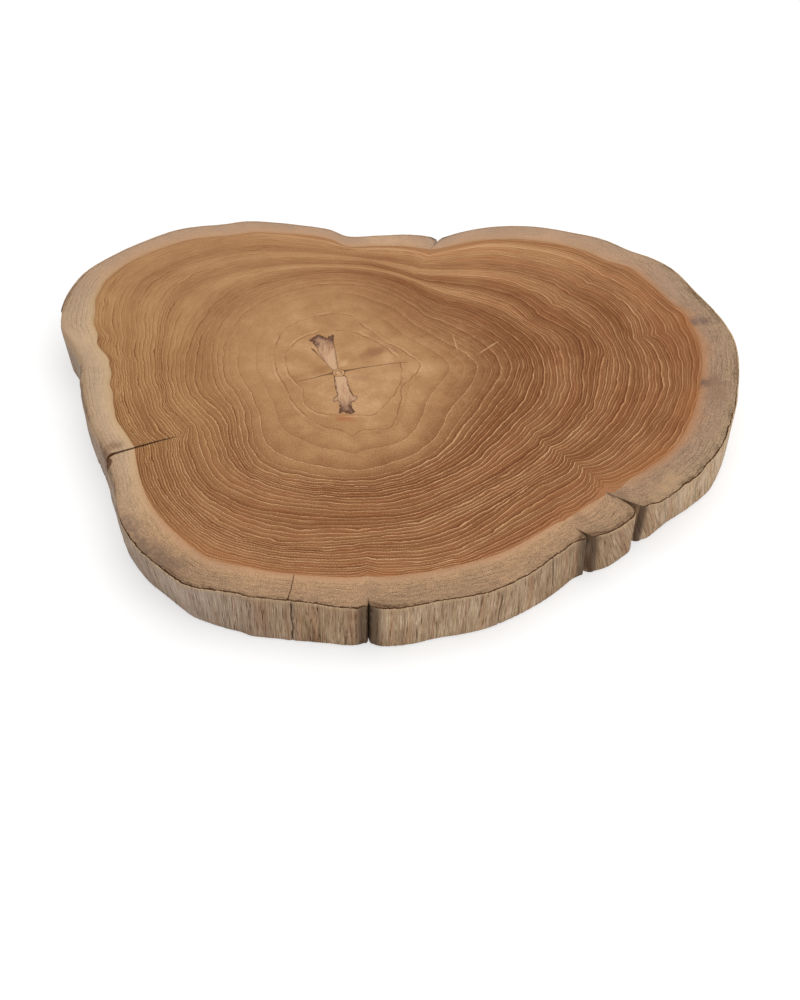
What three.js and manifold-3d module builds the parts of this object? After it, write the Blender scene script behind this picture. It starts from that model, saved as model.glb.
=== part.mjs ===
// A cutting board sawn as one slice across a teak root, with its natural edge left on.
// The slice lies flat with +Z up and its long way along X. The origin is under the middle of its box.
// The pieces are the layers that the root grew: pith, two dead branch stubs, heartwood, sapwood and the
// fibrous skin that debarking left on the edge. Nothing moves.
import * as THREE from 'three';
import { mergeVertices } from 'three/addons/utils/BufferGeometryUtils.js';
import Module from 'manifold-3d';

// Driving dimensions, in millimetres
const boardWidth = 400;
const boardDepth = 339;
const boardThickness = 32;
const skinThickness = 1.6;
const seamGap = 0.4; // open seam between the skin and the sapwood
const skinLift = 0.6; // the skin's lower edge is worn off this far above the underside
const skinDrop = 0.4; // its upper edge is sanded this far below the top face
const skinEase = 0.5; // worn corner along both edges of the skin
const sapwoodEase = 0.4; // worn corner of the sapwood beside the skin
const bareRoll = 5; // how far the bare sapwood rolls over at its edges
const bareRollRun = 12; // degrees from the end of the skin to where the roll is full
const growthGap = 0.3; // clearance between pieces that grew against each other
const pithWidth = 7.6;
const pithDepth = 6.8;
const stubFloor = 6; // heartwood left under the lower end of a branch stub
const stubTipShare = 0.2; // a stub's outline at its lower end, as a share of its outline on the top face
const checkTip = [211.4, 107]; // inner end of the drying check: bearing in degrees, radius from the pith
const checkWidth = 1.4; // width of the check through the sapwood
const checkMouthWidth = 5; // width of the hollow where the check meets the rim
const checkMouthLength = 8;
const cutOverrun = boardThickness; // cutters run this far past the faces that they cut

// How finely the curves are divided
const stepsPerStation = 3;
const pithSides = 24;
const stubSides = 40;
const stubLevels = 4;
const bearingSlack = 0.01; // degrees: a sample this near the end of the skin still carries it

// How far the underside's rim lies inside the top's: [bearing about the pith in degrees, inset]
const undersideInsets = [
  [-34.4, 2.6], [10, 2.6], [60, 2], [120, 3], [150, 3.5], [166, 5.5], [178, 2], [197, 2.8], [217, 1.2],
  [238, 5], [254, 1], [272, 2.6], [298, 3.4], [325.6, 2.6],
];

// The rim of the top face, by lobe, counter-clockwise from above. A station is [bearing about the pith in
// degrees, radius of the rim, width of the sapwood]. A lobe starts at the bottom of its fold. Its skin runs
// between two bearings, so the folds and the worn left side stay bare. The drawing is brought to the board's
// width and depth.
const lobes = [
  {
    name: 'right',
    fold: [-34.4, 189, 8],
    skin: [-33.9, 64.3],
    stations: [
      [-33.9, 199.5, 16], [-32.4, 206, 19], [-29.5, 210, 21], [-25, 216, 21], [-19, 222.5, 20.5],
      [-11, 227.5, 20.5], [-3, 231.5, 22], [6, 235, 21.5], [11, 233.5, 20], [15, 230.5, 18.5],
      [19.5, 227, 22], [25.5, 224.5, 23], [29.5, 219.5, 19.5], [33.5, 211.5, 20], [38.5, 205.5, 19.5],
      [44, 195, 18], [50, 184, 19], [56, 170, 19], [60.5, 157, 18.5], [63.2, 148, 16], [64.3, 142.5, 11.5],
    ],
  },
  {
    name: 'back',
    fold: [64.9, 134.5, 6],
    skin: [65.6, 161],
    stations: [
      [65.6, 138.5, 10], [67.6, 141.5, 13.5], [73, 139, 13], [80, 134, 11.5], [88, 131, 11],
      [93.5, 138.5, 10.5], [100, 144.5, 10.5], [106, 151, 12], [112, 158, 13], [118, 162, 13.5],
      [126, 171, 13.8], [134, 175.3, 12.8], [141, 179, 13.2], [148.5, 182.3, 15.5], [155, 180.5, 18.5],
      [161, 176, 20.5], [166, 171, 24.5], [170, 162, 20], [175.5, 153, 19], [182, 151, 19.5],
      [190, 149, 18], [197, 148, 16], [204, 147.5, 17], [208.4, 148.5, 18],
    ],
  },
  {
    name: 'front_left',
    fold: [209.3, 147.5, 17],
    skin: [222.5, 275],
    stations: [
      [210.2, 150, 19], [216, 154.5, 18.5], [222.5, 162.5, 19], [229, 172.5, 21], [237, 181.5, 21],
      [243, 186.3, 20], [248, 188.8, 20.7], [253.5, 187.3, 20], [260, 188.5, 20.8], [267, 190.3, 22],
      [273, 192.6, 23.5], [275, 191.5, 22.3],
    ],
  },
  {
    name: 'front',
    fold: [275.8, 187.5, 18],
    skin: [276.6, 313.9],
    stations: [
      [276.6, 192.5, 23], [278.5, 194.8, 24.5], [284, 195.8, 24.5], [291, 197, 24], [297, 198.6, 24],
      [303, 197.6, 20.8], [309, 195, 17.5], [313.9, 194.3, 16.8],
    ],
  },
  {
    name: 'knuckle',
    fold: [314.9, 188.5, 11],
    skin: [315.6, 325],
    stations: [
      [315.6, 195.5, 17.5], [317.9, 200, 20.5], [321, 202.3, 21], [323.8, 202, 19.5], [325, 198.5, 16],
    ],
  },
];

// Outlines of the branch stubs on the top face, [x, y] from the pith's centre, counter-clockwise
const rearStubOutline = [
  [-0.4, 2.6], [-1.4, 12], [-2.6, 23], [-4, 32], [-9.5, 31], [-15.4, 30], [-13.2, 24.5], [-9.8, 16.5], [-5, 7],
];
const frontStubOutline = [
  [-1.8, -3], [-1.5, -12], [-1.1, -21], [0.2, -28], [1.5, -33.6], [4.6, -34.4], [7.6, -33], [8.3, -28.5],
  [9.4, -24], [7.3, -18.5], [5.2, -12], [3.6, -3.4],
];

const wasm = await Module();
wasm.setup();

const insetCurve = new THREE.CubicInterpolant(
  undersideInsets.map((knot) => knot[0]),
  undersideInsets.map((knot) => knot[1]),
  1,
);

// Points along a lobe as it is drawn, with the radius of the rim and of the heartwood at the same bearing
function drawLobe(lobe, index) {
  const next = lobes[(index + 1) % lobes.length].fold;
  const turn = index + 1 === lobes.length ? 360 : 0;
  const stations = [lobe.fold, ...lobe.stations, [next[0] + turn, next[1], next[2]]];
  const rimCurve = new THREE.SplineCurve(stations.map(([b, rim]) => new THREE.Vector2(b, rim)));
  const heartCurve = new THREE.SplineCurve(stations.map(([b, rim, sap]) => new THREE.Vector2(b, rim - sap)));
  const steps = (stations.length - 1) * stepsPerStation;
  return Array.from({ length: steps }, (_, step) => {
    const { x: bearing, y: rim } = rimCurve.getPoint(step / steps);
    return { bearing, rim, heart: heartCurve.getPoint(step / steps).y };
  });
}

function polar(bearing, radius) {
  const angle = THREE.MathUtils.degToRad(bearing);
  return new THREE.Vector2(radius * Math.cos(angle), radius * Math.sin(angle));
}

const drawing = lobes.map(drawLobe);
const drawnRim = drawing.flat().map((at) => polar(at.bearing, at.rim));
const drawnSize = new THREE.Box2().setFromPoints(drawnRim).getSize(new THREE.Vector2());
const stretch = new THREE.Vector2(boardWidth, boardDepth).divide(drawnSize);

function onBoard(bearing, radius) {
  return polar(bearing, radius).multiply(stretch);
}

// Samples of a lobe at the board's size: the way out from the pith, the radius of the rim and of the
// heartwood, the underside's inset, and how the edge is finished there
function sampleLobe(lobe, index) {
  const [skinStart, skinEnd] = lobe.skin;
  return drawing[index].map(({ bearing, rim, heart }) => {
    const rimPoint = onBoard(bearing, rim);
    const bareBy = Math.max(skinStart - bearing, bearing - skinEnd);
    return {
      way: rimPoint.clone().normalize(),
      rim: rimPoint.length(),
      heart: onBoard(bearing, heart).length(),
      inset: insetCurve.evaluate(bearing)[0],
      skinned: bareBy < bearingSlack,
      roll: sapwoodEase + bareRoll * THREE.MathUtils.smoothstep(bareBy, 0, bareRollRun),
    };
  });
}

// The wall slopes in towards the underside, and the rings behind it draw in by the same share.
function atSample(sample, radius, z) {
  const below = 1 - z / boardThickness;
  const reach = radius * (1 - (below * sample.inset) / sample.rim);
  return new THREE.Vector3(sample.way.x * reach, sample.way.y * reach, z);
}

// A closed solid through a row of outlines that all have as many points. The outlines run
// counter-clockwise, seen looking along the row. A row that meets itself needs no end caps.
function sweep(outlines, meetsItself) {
  const sides = outlines[0].length;
  const points = outlines.flat();
  const faces = [];
  const rows = meetsItself ? outlines.length : outlines.length - 1;
  for (let row = 0; row < rows; row += 1) {
    const here = row * sides;
    const ahead = ((row + 1) % outlines.length) * sides;
    for (let side = 0; side < sides; side += 1) {
      const next = (side + 1) % sides;
      faces.push(here + side, ahead + side, ahead + next, here + side, ahead + next, here + next);
    }
  }
  if (!meetsItself) {
    const last = (outlines.length - 1) * sides;
    const firstCentre = points.push(middle(outlines[0])) - 1;
    const lastCentre = points.push(middle(outlines[outlines.length - 1])) - 1;
    for (let side = 0; side < sides; side += 1) {
      const next = (side + 1) % sides;
      faces.push(firstCentre, side, next, lastCentre, last + next, last + side);
    }
  }
  const geometry = new THREE.BufferGeometry().setFromPoints(points);
  geometry.setIndex(faces);
  return geometry;
}

function middle(outline) {
  const sum = outline.reduce((total, point) => total.add(point), new THREE.Vector3());
  return sum.divideScalar(outline.length);
}

// Boolean cuts
function toSolid(geometry) {
  const bare = geometry.clone();
  bare.deleteAttribute('normal');
  bare.deleteAttribute('uv');
  const merged = mergeVertices(bare);
  const vertProperties = new Float32Array(merged.getAttribute('position').array);
  const triVerts = new Uint32Array(merged.index.array);
  return new wasm.Manifold(new wasm.Mesh({ numProp: 3, vertProperties, triVerts }));
}

function cut(geometry, ...cutters) {
  let solid = toSolid(geometry);
  for (const cutter of cutters) {
    solid = solid.subtract(toSolid(cutter));
  }
  const mesh = solid.getMesh();
  const result = new THREE.BufferGeometry();
  result.setAttribute('position', new THREE.BufferAttribute(new Float32Array(mesh.vertProperties), 3));
  result.setIndex(new THREE.BufferAttribute(new Uint32Array(mesh.triVerts), 1));
  return result;
}

// Pith: an oval core through the whole slice
function pithCore(clearance, overrun) {
  const oval = (z) => Array.from({ length: pithSides }, (_, side) => {
    const angle = (side / pithSides) * 2 * Math.PI;
    const x = (pithWidth / 2 + clearance) * Math.cos(angle);
    const y = (pithDepth / 2 + clearance) * Math.sin(angle);
    return new THREE.Vector3(x, y, z);
  });
  return sweep([oval(boardThickness + overrun), oval(-overrun)], false);
}

// Branch stub: full size on the top face, and tapering down to the pith that it grew from
function branchStub(outlinePoints, clearance, overrun) {
  const knots = outlinePoints.map(([x, y]) => new THREE.Vector3(x, y, 0));
  const curve = new THREE.CatmullRomCurve3(knots, true, 'centripetal');
  const outline = curve.getPoints(stubSides).slice(0, stubSides);
  const grown = outline.map((point, index) => {
    const before = outline[(index + stubSides - 1) % stubSides];
    const after = outline[(index + 1) % stubSides];
    const along = after.clone().sub(before).normalize();
    return new THREE.Vector2(point.x + along.y * clearance, point.y - along.x * clearance);
  });
  const depth = boardThickness - stubFloor;
  const level = (below) => {
    const share = 1 - (1 - stubTipShare) * below;
    const z = boardThickness - below * (depth + clearance);
    return grown.map((point) => new THREE.Vector3(point.x * share, point.y * share, z));
  };
  const levels = Array.from({ length: stubLevels }, (_, index) => level(index / (stubLevels - 1)));
  const proud = levels[0].map((point) => new THREE.Vector3(point.x, point.y, point.z + overrun));
  return sweep(overrun > 0 ? [proud, ...levels] : levels, false);
}

// Drying check: a crack from the rim of the front left fold that closes towards its inner end
function dryingCheck() {
  const [foldBearing, foldRadius] = lobes.find((lobe) => lobe.name === 'front_left').fold;
  const mouth = onBoard(foldBearing, foldRadius);
  const tip = onBoard(...checkTip);
  const length = mouth.distanceTo(tip);
  const straight = length - checkMouthLength;
  const crack = new THREE.Shape();
  crack.moveTo(0, 0);
  crack.quadraticCurveTo(straight / 3, -checkWidth / 2, straight, -checkWidth / 2);
  crack.quadraticCurveTo(length - checkMouthLength / 4, -checkWidth / 2, length, -checkMouthWidth / 2);
  crack.lineTo(length + cutOverrun, -checkMouthWidth);
  crack.lineTo(length + cutOverrun, checkMouthWidth);
  crack.lineTo(length, checkMouthWidth / 2);
  crack.quadraticCurveTo(length - checkMouthLength / 4, checkWidth / 2, straight, checkWidth / 2);
  crack.quadraticCurveTo(straight / 3, checkWidth / 2, 0, 0);
  const geometry = new THREE.ExtrudeGeometry(crack, {
    depth: boardThickness + 2 * cutOverrun,
    curveSegments: 5,
    bevelEnabled: false,
  });
  geometry.rotateZ(mouth.clone().sub(tip).angle());
  geometry.translate(tip.x, tip.y, -cutOverrun);
  return geometry;
}

// Heartwood: a ring round the pith, with pockets for the stubs and the inner end of the check
function heartwood(samples) {
  const bore = Math.min(pithWidth, pithDepth) / 4;
  const ring = sweep(samples.map((at) => [
    atSample(at, bore, 0),
    atSample(at, at.heart, 0),
    atSample(at, at.heart, boardThickness),
    atSample(at, bore, boardThickness),
  ]), true);
  return cut(
    ring,
    pithCore(growthGap, cutOverrun),
    branchStub(rearStubOutline, growthGap, cutOverrun),
    branchStub(frontStubOutline, growthGap, cutOverrun),
    dryingCheck(),
  );
}

// Sapwood: it reaches the rim where it is bare, and stands back behind the seam where the skin covers it.
function sapwood(samples) {
  const ring = sweep(samples.map((at) => {
    const inner = at.heart + growthGap;
    const outer = at.skinned ? at.rim - skinThickness - seamGap : at.rim;
    const corner = at.roll * (1 - Math.SQRT1_2);
    return [
      atSample(at, inner, 0),
      atSample(at, outer - at.roll / 2, 0),
      atSample(at, outer, at.roll / 2),
      atSample(at, outer, boardThickness - at.roll),
      atSample(at, outer - corner, boardThickness - corner),
      atSample(at, outer - at.roll, boardThickness),
      atSample(at, inner, boardThickness),
    ];
  }), true);
  return cut(ring, dryingCheck());
}

// Skin: a strip along one lobe with both of its edges worn round
function edgeSkin(samples) {
  const low = skinLift;
  const high = boardThickness - skinDrop;
  return sweep(samples.filter((at) => at.skinned).map((at) => [
    atSample(at, at.rim - skinThickness, low),
    atSample(at, at.rim - skinEase, low),
    atSample(at, at.rim, low + skinEase),
    atSample(at, at.rim, high - skinEase),
    atSample(at, at.rim - skinEase, high),
    atSample(at, at.rim - skinThickness, high),
  ]), false);
}

// Finishes
const finish = (color, roughness) => new THREE.MeshStandardMaterial({ color, roughness, metalness: 0 });
const finishes = {
  heartwood: finish(0x9f6f46, 0.55),
  sapwood: finish(0xab8b6c, 0.62),
  pith: finish(0xae815a, 0.7),
  stub: finish(0x7a5439, 0.65),
  skin: finish(0xa0815f, 0.8),
};

const slice = new THREE.Group();

function place(name, geometry, material) {
  geometry.computeVertexNormals();
  const mesh = new THREE.Mesh(geometry, material);
  mesh.name = name;
  slice.add(mesh);
}

const samplesByLobe = lobes.map(sampleLobe);
const allSamples = samplesByLobe.flat();

place('heartwood', heartwood(allSamples), finishes.heartwood);
place('sapwood_rim', sapwood(allSamples), finishes.sapwood);
place('pith', pithCore(0, 0), finishes.pith);
const pithCutter = pithCore(growthGap, cutOverrun);
place('rear_branch_stub', cut(branchStub(rearStubOutline, 0, 0), pithCutter), finishes.stub);
place('front_branch_stub', cut(branchStub(frontStubOutline, 0, 0), pithCutter), finishes.stub);
lobes.forEach((lobe, index) => {
  place(`edge_skin_${lobe.name}`, edgeSkin(samplesByLobe[index]), finishes.skin);
});

// The pith is off centre, so the slice is moved to stand the origin under the middle of its box.
const box = new THREE.Box3().setFromObject(slice);
slice.position.set(-(box.min.x + box.max.x) / 2, -(box.min.y + box.max.y) / 2, 0);

const board = new THREE.Group();
board.add(slice);

export default board;
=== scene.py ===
import math
import bmesh
import bpy
import numpy as np
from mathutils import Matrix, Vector, noise


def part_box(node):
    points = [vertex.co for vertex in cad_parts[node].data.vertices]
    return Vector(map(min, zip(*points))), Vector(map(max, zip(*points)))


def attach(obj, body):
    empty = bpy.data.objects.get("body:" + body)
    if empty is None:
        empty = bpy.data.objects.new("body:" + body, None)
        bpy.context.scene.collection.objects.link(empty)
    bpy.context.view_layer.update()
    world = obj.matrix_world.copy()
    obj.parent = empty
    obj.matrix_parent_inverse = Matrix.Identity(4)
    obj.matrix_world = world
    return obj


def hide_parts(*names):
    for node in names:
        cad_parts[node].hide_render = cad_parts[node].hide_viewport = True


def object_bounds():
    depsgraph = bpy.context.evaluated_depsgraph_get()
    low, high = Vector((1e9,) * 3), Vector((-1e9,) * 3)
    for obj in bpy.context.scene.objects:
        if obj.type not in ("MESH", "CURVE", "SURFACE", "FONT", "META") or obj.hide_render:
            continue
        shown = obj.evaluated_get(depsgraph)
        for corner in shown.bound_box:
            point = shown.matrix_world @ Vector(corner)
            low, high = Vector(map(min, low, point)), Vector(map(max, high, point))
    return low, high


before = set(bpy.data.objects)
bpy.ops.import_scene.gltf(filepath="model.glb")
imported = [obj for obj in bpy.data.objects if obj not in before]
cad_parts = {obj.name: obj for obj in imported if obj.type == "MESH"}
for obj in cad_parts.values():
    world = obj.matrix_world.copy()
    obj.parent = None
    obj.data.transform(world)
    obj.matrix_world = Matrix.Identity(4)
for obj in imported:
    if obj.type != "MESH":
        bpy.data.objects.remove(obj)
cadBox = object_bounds()
print("frame loaded:", len(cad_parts), "nodes")

# Lengths are in millimetres until a mesh is finished, bearings in degrees about the pith.
toMetres = 0.001
pithLow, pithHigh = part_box("pith")
pithX = (pithLow.x + pithHigh.x) / 2 / toMetres
pithY = (pithLow.y + pithHigh.y) / 2 / toMetres
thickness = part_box("heartwood")[1].z / toMetres

board = {
    "columns": 1000,  # round the slice
    "stepsPerStation": 20,
    "firstBearing": -40,  # bearings of points are counted from here
    "noiseRadius": 180,  # of the circle that noise round the rim is read on
    # the heartwood's rim is scalloped at the left: depth, waves in each degree, and where
    "scallops": {"depth": 0.5, "waves": (0.061, 0.137), "grows": (142, 156), "fades": (184, 204)},
    # how far the clefts turn on their way down, in degrees, and between which bearings
    "twist": {"turn": 0.9, "grows": (298, 311), "fades": (329, 340)},
    # how far the underside's rim lies inside the top's, by bearing
    "insets": [
        (-34.4, 3.8), (-30, 7.5), (-24.5, 8.2), (-20, 5.2), (-14, 3.4), (10, 2.6), (60, 2), (120, 3),
        (150, 3.5), (166, 5.5), (178, 2), (197, 2.8), (217, 1.2), (227, 5.5), (238, 8.4), (246, 7.8),
        (254, 2.8), (263, 1.9), (272, 3.5), (285, 3.5), (298, 4.4), (308, 2.4), (314.5, 3.6), (320, 4.2),
        (325.6, 3.8),
    ],
}
# each lobe: the bottom of its fold, where its skin runs and how the skin's ends taper,
# then stations of bearing, rim radius and sapwood width
lobes = {
    "right": {
        "fold": (-34.4, 189, 8), "skin": (-33.9, 64.5), "taper": (1.0, 0.4),
        "stations": [
            (-33.9, 203, 19), (-33, 207, 22), (-31.8, 210.6, 24.6), (-29.2, 214, 27), (-26.3, 217.5, 26.5),
            (-23.7, 221, 26.5), (-20.7, 223.2, 24.5), (-16.9, 226.6, 24.4), (-11, 229, 23.5),
            (-3, 231.8, 22.6), (6, 235, 21.5), (11, 233.5, 20), (15, 230.5, 18), (19.5, 227, 20),
            (25.5, 224.5, 21), (29.5, 219.5, 18), (33.5, 211.5, 18.5), (38.5, 205.5, 17.8), (44, 195, 16.5),
            (50, 184, 17.5), (56, 170, 17.5), (60.5, 157, 17.5), (63.2, 148, 15.5), (64.5, 143, 12.5),
        ],
    },
    "back": {
        "fold": (64.95, 138.6, 9.5), "skin": (65.4, 161), "taper": (0.4, 9),
        "stations": [
            (65.4, 140, 10.8), (67.6, 141.5, 13.5), (73, 139, 13), (80, 134, 11.5), (88, 131, 11),
            (93.5, 138.5, 10.5), (100, 144.5, 10.5), (106, 151, 12), (112, 158, 13), (118, 162, 13.5),
            (126, 171, 13.8), (134, 175.3, 12.8), (141, 179, 13.2), (148.5, 182.3, 16.3), (155, 180.5, 19.4),
            (161, 176, 21.2), (166, 171, 23.8), (170, 162, 19), (175.5, 153, 18.2), (182, 151, 19.5),
            (190, 149, 18), (197, 148, 16), (204, 147.5, 17), (208.4, 148.5, 18),
        ],
    },
    "front_left": {
        "fold": (209.3, 147.5, 17), "skin": (222.5, 275.35), "taper": (9, 0.25),
        "stations": [
            (210.2, 150, 19), (216, 154.5, 17.6), (222.5, 163.5, 19.2), (227, 171.9, 22.4),
            (233.7, 181.3, 25), (238.5, 185.8, 25.2), (242.9, 190.2, 25), (246, 192.6, 24.6),
            (249.5, 191.3, 23), (254, 189.2, 21.8), (256.6, 189.9, 22), (261.2, 189, 21), (267, 190, 21.8),
            (272.6, 193.4, 24.2), (275.35, 191.9, 22.6),
        ],
    },
    "front": {
        "fold": (275.8, 187.5, 18), "skin": (276.25, 314.5), "taper": (0.25, 0.6),
        "stations": [
            (276.25, 192.6, 23.3), (278.3, 196, 25.6), (282.5, 196.6, 25.2), (287, 196.2, 24),
            (293.2, 199, 25.4), (297, 199.5, 25), (302.6, 197.6, 22.4), (308.2, 194.6, 19.8),
            (312, 193.8, 19), (314.5, 195, 19),
        ],
    },
    "knuckle": {
        "fold": (315, 188.5, 11), "skin": (315.5, 325.1), "taper": (1.0, 0.6),
        "stations": [
            (315.5, 196.5, 19.5), (316.6, 199.5, 22.4), (318.7, 202.8, 25), (321.3, 204.2, 25.4),
            (323.2, 204.9, 24.4), (324.2, 203.6, 22.5), (324.7, 201.5, 20), (325.1, 198, 16.5),
        ],
    },
}


def smoothCurve(points, steps):
    knots = np.array(points, float)
    last = len(knots) - 1
    rows = []
    for index in range(last):
        before, start, end, after = (knots[min(max(index + shift, 0), last)] for shift in (-1, 0, 1, 2))
        leave, arrive = (end - before) / 2, (after - start) / 2
        for step in range(steps):
            t = step / steps
            cubic = (2 * start - 2 * end + leave + arrive) * t ** 3
            square = (3 * end - 3 * start - 2 * leave - arrive) * t ** 2
            rows.append(cubic + square + leave * t + start)
    rows.append(knots[last])
    return np.array(rows)


def smoothStep(value, low, high):
    t = np.clip((np.asarray(value, float) - low) / (high - low), 0, 1)
    return t * t * (3 - 2 * t)


# 1 between two soft ends
def between(value, grows, fades):
    return smoothStep(value, *grows) * (1 - smoothStep(value, *fades))


# distance along a line to each of its points
def runAlong(line):
    return np.concatenate([[0], np.cumsum(np.linalg.norm(np.diff(line, axis=0), axis=1))])


def unitRun(line):
    run = np.gradient(line, axis=0)
    return run / np.linalg.norm(run, axis=1)[:, None]


def atHeight(flat, z):
    return np.column_stack([flat, np.full(len(flat), z)])


def drawRim():
    specs = list(lobes.values())
    rows = []
    for index, lobe in enumerate(specs):
        nextFold = np.array(specs[(index + 1) % len(specs)]["fold"], float)
        if index + 1 == len(specs):
            nextFold[0] += 360
        rows.append(smoothCurve([lobe["fold"], *lobe["stations"], nextFold], board["stepsPerStation"])[:-1])
    turn, radius, sapWidth = np.vstack(rows).T
    angle = np.radians(turn)
    # the drawing is brought to the width and depth of the CAD board
    size = (np.array(cadBox[1]) - np.array(cadBox[0])) / toMetres
    wayX = np.cos(angle) * (size[0] / np.ptp(radius * np.cos(angle)))
    wayY = np.sin(angle) * (size[1] / np.ptp(radius * np.sin(angle)))
    reach = np.hypot(wayX, wayY)
    bearing = np.degrees(np.unwrap(np.arctan2(wayY, wayX)))
    bearing += 360 * round((turn[0] - bearing[0]) / 360)
    scallops = board["scallops"]
    waves = sum(np.sin(2 * math.pi * wave * turn) for wave in scallops["waves"]) * scallops["depth"]
    waves = waves * between(turn, scallops["grows"], scallops["fades"])
    return bearing, radius * reach, (radius - sapWidth + waves) * reach


rimBearing, rimRadius, heartRadius = drawRim()
insetCurve = smoothCurve(board["insets"], board["stepsPerStation"])


def rimAt(bearing):
    return np.interp(bearing, rimBearing, rimRadius, period=360)


def heartAt(bearing):
    return np.interp(bearing, rimBearing, heartRadius, period=360)


def insetAt(bearing):
    return np.interp(bearing, insetCurve[:, 0], insetCurve[:, 1], period=360)


def twistAt(bearing):
    twist = board["twist"]
    return twist["turn"] * between(np.asarray(bearing, float) % 360, twist["grows"], twist["fades"])


# the wall slopes in to the underside, and what lies behind it draws in by the same share
def onBoard(bearing, radius, z):
    below = 1 - np.asarray(z, float) / thickness
    reach = radius * (1 - below * insetAt(bearing) / rimAt(bearing))
    angle = np.radians(bearing + below * twistAt(bearing))
    x, y = pithX + reach * np.cos(angle), pithY + reach * np.sin(angle)
    return np.stack(np.broadcast_arrays(x, y, np.asarray(z, float)), axis=-1)


# close bearings and the distance along the rim to each
def rimSpan(start, end, samples=6000):
    bearing = np.linspace(start, end, samples)
    return bearing, runAlong(onBoard(bearing, rimAt(bearing), np.full(samples, thickness)))


# bearings of points spaced evenly along the rim
def spacedBearings(start, end, count):
    bearing, run = rimSpan(start, end)
    return np.interp(np.linspace(0, run[-1], count + 1), run, bearing)


# The growth rings: each followed ring has its number counted from the pith and points on it.
figure = {
    "ovalRing": (2, [
        (-15, 36.8), (15, 36.7), (36, 35.5), (64, 35.7), (73, 37.4), (97, 38.8), (119, 38.7), (140, 37),
        (153, 34.6), (168, 31.3), (190, 26.8), (216, 25), (239, 33.7), (252, 36.6), (272, 37.5), (286, 39),
        (300, 42.1), (318, 38.3),
    ]),
    "wavyRing": (3.2, [
        (-20, 38.8), (-6, 42.7), (8, 47.6), (22, 43.5), (47, 38.8), (71, 44.6), (81, 51.4), (90, 54.1),
        (105, 53.6), (124, 51.9), (149, 44), (162, 38.7), (178, 35.6), (204, 32.7), (229, 37), (245, 41.5),
        (261, 47.5), (272, 49.6), (279, 55.6), (284.5, 52), (292, 53.3), (302, 56.4), (310, 51.5),
        (321, 45.8),
    ]),
    "firstPaleRing": (6, [
        (-30, 77.5), (-14, 80), (2, 85), (11, 81.5), (25, 72), (42, 66.5), (60, 71), (90, 77), (125, 75),
        (150, 68.5), (180, 60.5), (203, 56.5), (220, 61.5), (240, 80), (260, 85.5), (280, 89), (310, 85.5),
    ]),
    "innerRing": (9, [
        (-28, 91.3), (-15, 94.5), (0, 101), (9, 102.3), (20, 97.5), (36, 85.5), (47, 79.8), (58, 81.5),
        (72, 86.5), (95, 88.5), (125, 86.5), (150, 81), (172, 72.5), (190, 69), (203, 66.2), (213, 68),
        (224, 76), (240, 92), (252, 95), (268, 95.3), (284, 98.3), (300, 96), (318, 93),
    ]),
    "darkBandRing": (13, [
        (-30, 104), (-12, 111), (0, 113.5), (12, 111.5), (30, 101), (50, 88), (62, 90), (80, 94), (110, 95.5),
        (135, 95), (150, 90.5), (160, 87.7), (172, 85.2), (190, 83.8), (200, 79), (211, 76.5), (220, 80.5),
        (230, 90), (243, 98.5), (260, 101), (284, 104.2), (310, 105),
    ]),
    "lightBandRing": (16, [
        (-30, 113.5), (-10, 123), (0, 124), (12, 122.5), (30, 110.5), (50, 95), (65, 96), (90, 98.5),
        (110, 102), (130, 106), (148, 100), (160, 96.5), (178, 93.6), (190, 92), (201, 87.5), (211, 85),
        (222, 90.5), (236, 102.5), (250, 107), (268, 108), (286, 112), (312, 112.5),
    ]),
    "middleRing": (20, [
        (-30, 128), (-20, 133.5), (-10, 139), (0, 139.5), (12, 141), (22, 129.5), (32, 125.5), (42, 115.5),
        (52, 104.5), (62, 99), (80, 102), (98, 103.5), (120, 112.5), (137, 119.5), (150, 116), (162, 108),
        (178, 102.3), (198, 99.3), (209, 97.5), (219, 104.5), (232, 116.5), (243, 120.5), (262, 120),
        (277, 121), (290, 125), (304, 122.5), (320, 124),
    ]),
    "hollowRing": (23, [
        (-30, 136.5), (-15, 145.5), (0, 150), (11, 154.5), (21, 147), (34, 136.5), (45, 125), (55, 111.5),
        (64, 104.5), (80, 105.5), (98, 109), (120, 121), (136, 127), (150, 121), (162, 112), (180, 105),
        (200, 102), (210, 102.5), (222, 114.5), (236, 125), (252, 130), (272, 130), (290, 132), (310, 130),
    ]),
    "bowedRing": (27, [
        (-30, 146), (-20, 152), (-10, 158.5), (2, 163.5), (12, 162.5), (22, 157), (35, 146), (46, 131),
        (57, 114.5), (66, 109), (82, 108.3), (100, 114.5), (120, 128), (138, 136), (150, 133.5), (162, 122),
        (178, 114), (200, 109), (210, 109), (222, 121.5), (234, 134), (248, 142.5), (260, 144.5), (276, 140),
        (290, 141.5), (310, 138),
    ]),
    "purpleRing": (31, [
        (-30, 159), (-20, 167), (-8, 175.5), (3, 178), (14, 177), (24, 171.5), (38, 155), (50, 136),
        (60, 117.5), (68, 113), (85, 111.7), (100, 119.5), (120, 137), (137, 147), (148, 147), (162, 134.5),
        (178, 123), (195, 120), (210, 119.5), (220, 126.5), (234, 141), (246, 149), (262, 150), (278, 149.2),
        (291, 154.3), (302, 151), (312, 146.5), (321, 148),
    ]),
    "outerRing": (35, [
        (-30, 172), (-18, 181), (-8, 190), (3, 193), (14, 189.5), (28, 180), (40, 166), (52, 147), (61, 127),
        (70, 120.5), (85, 116.8), (98, 125), (112, 140), (130, 156), (146, 160), (160, 148), (170, 136),
        (182, 127.5), (198, 125.5), (211, 125), (222, 135.5), (234, 146.5), (248, 157), (266, 157.5),
        (280, 160.5), (292, 165.5), (310, 161),
    ]),
}
heartRing, rimRing = 40, 48
ringSteps = 12  # between points of a ring
leastRing = 0.5  # least distance from one followed ring to the next
paceRange = (0.03, 2)

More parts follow.
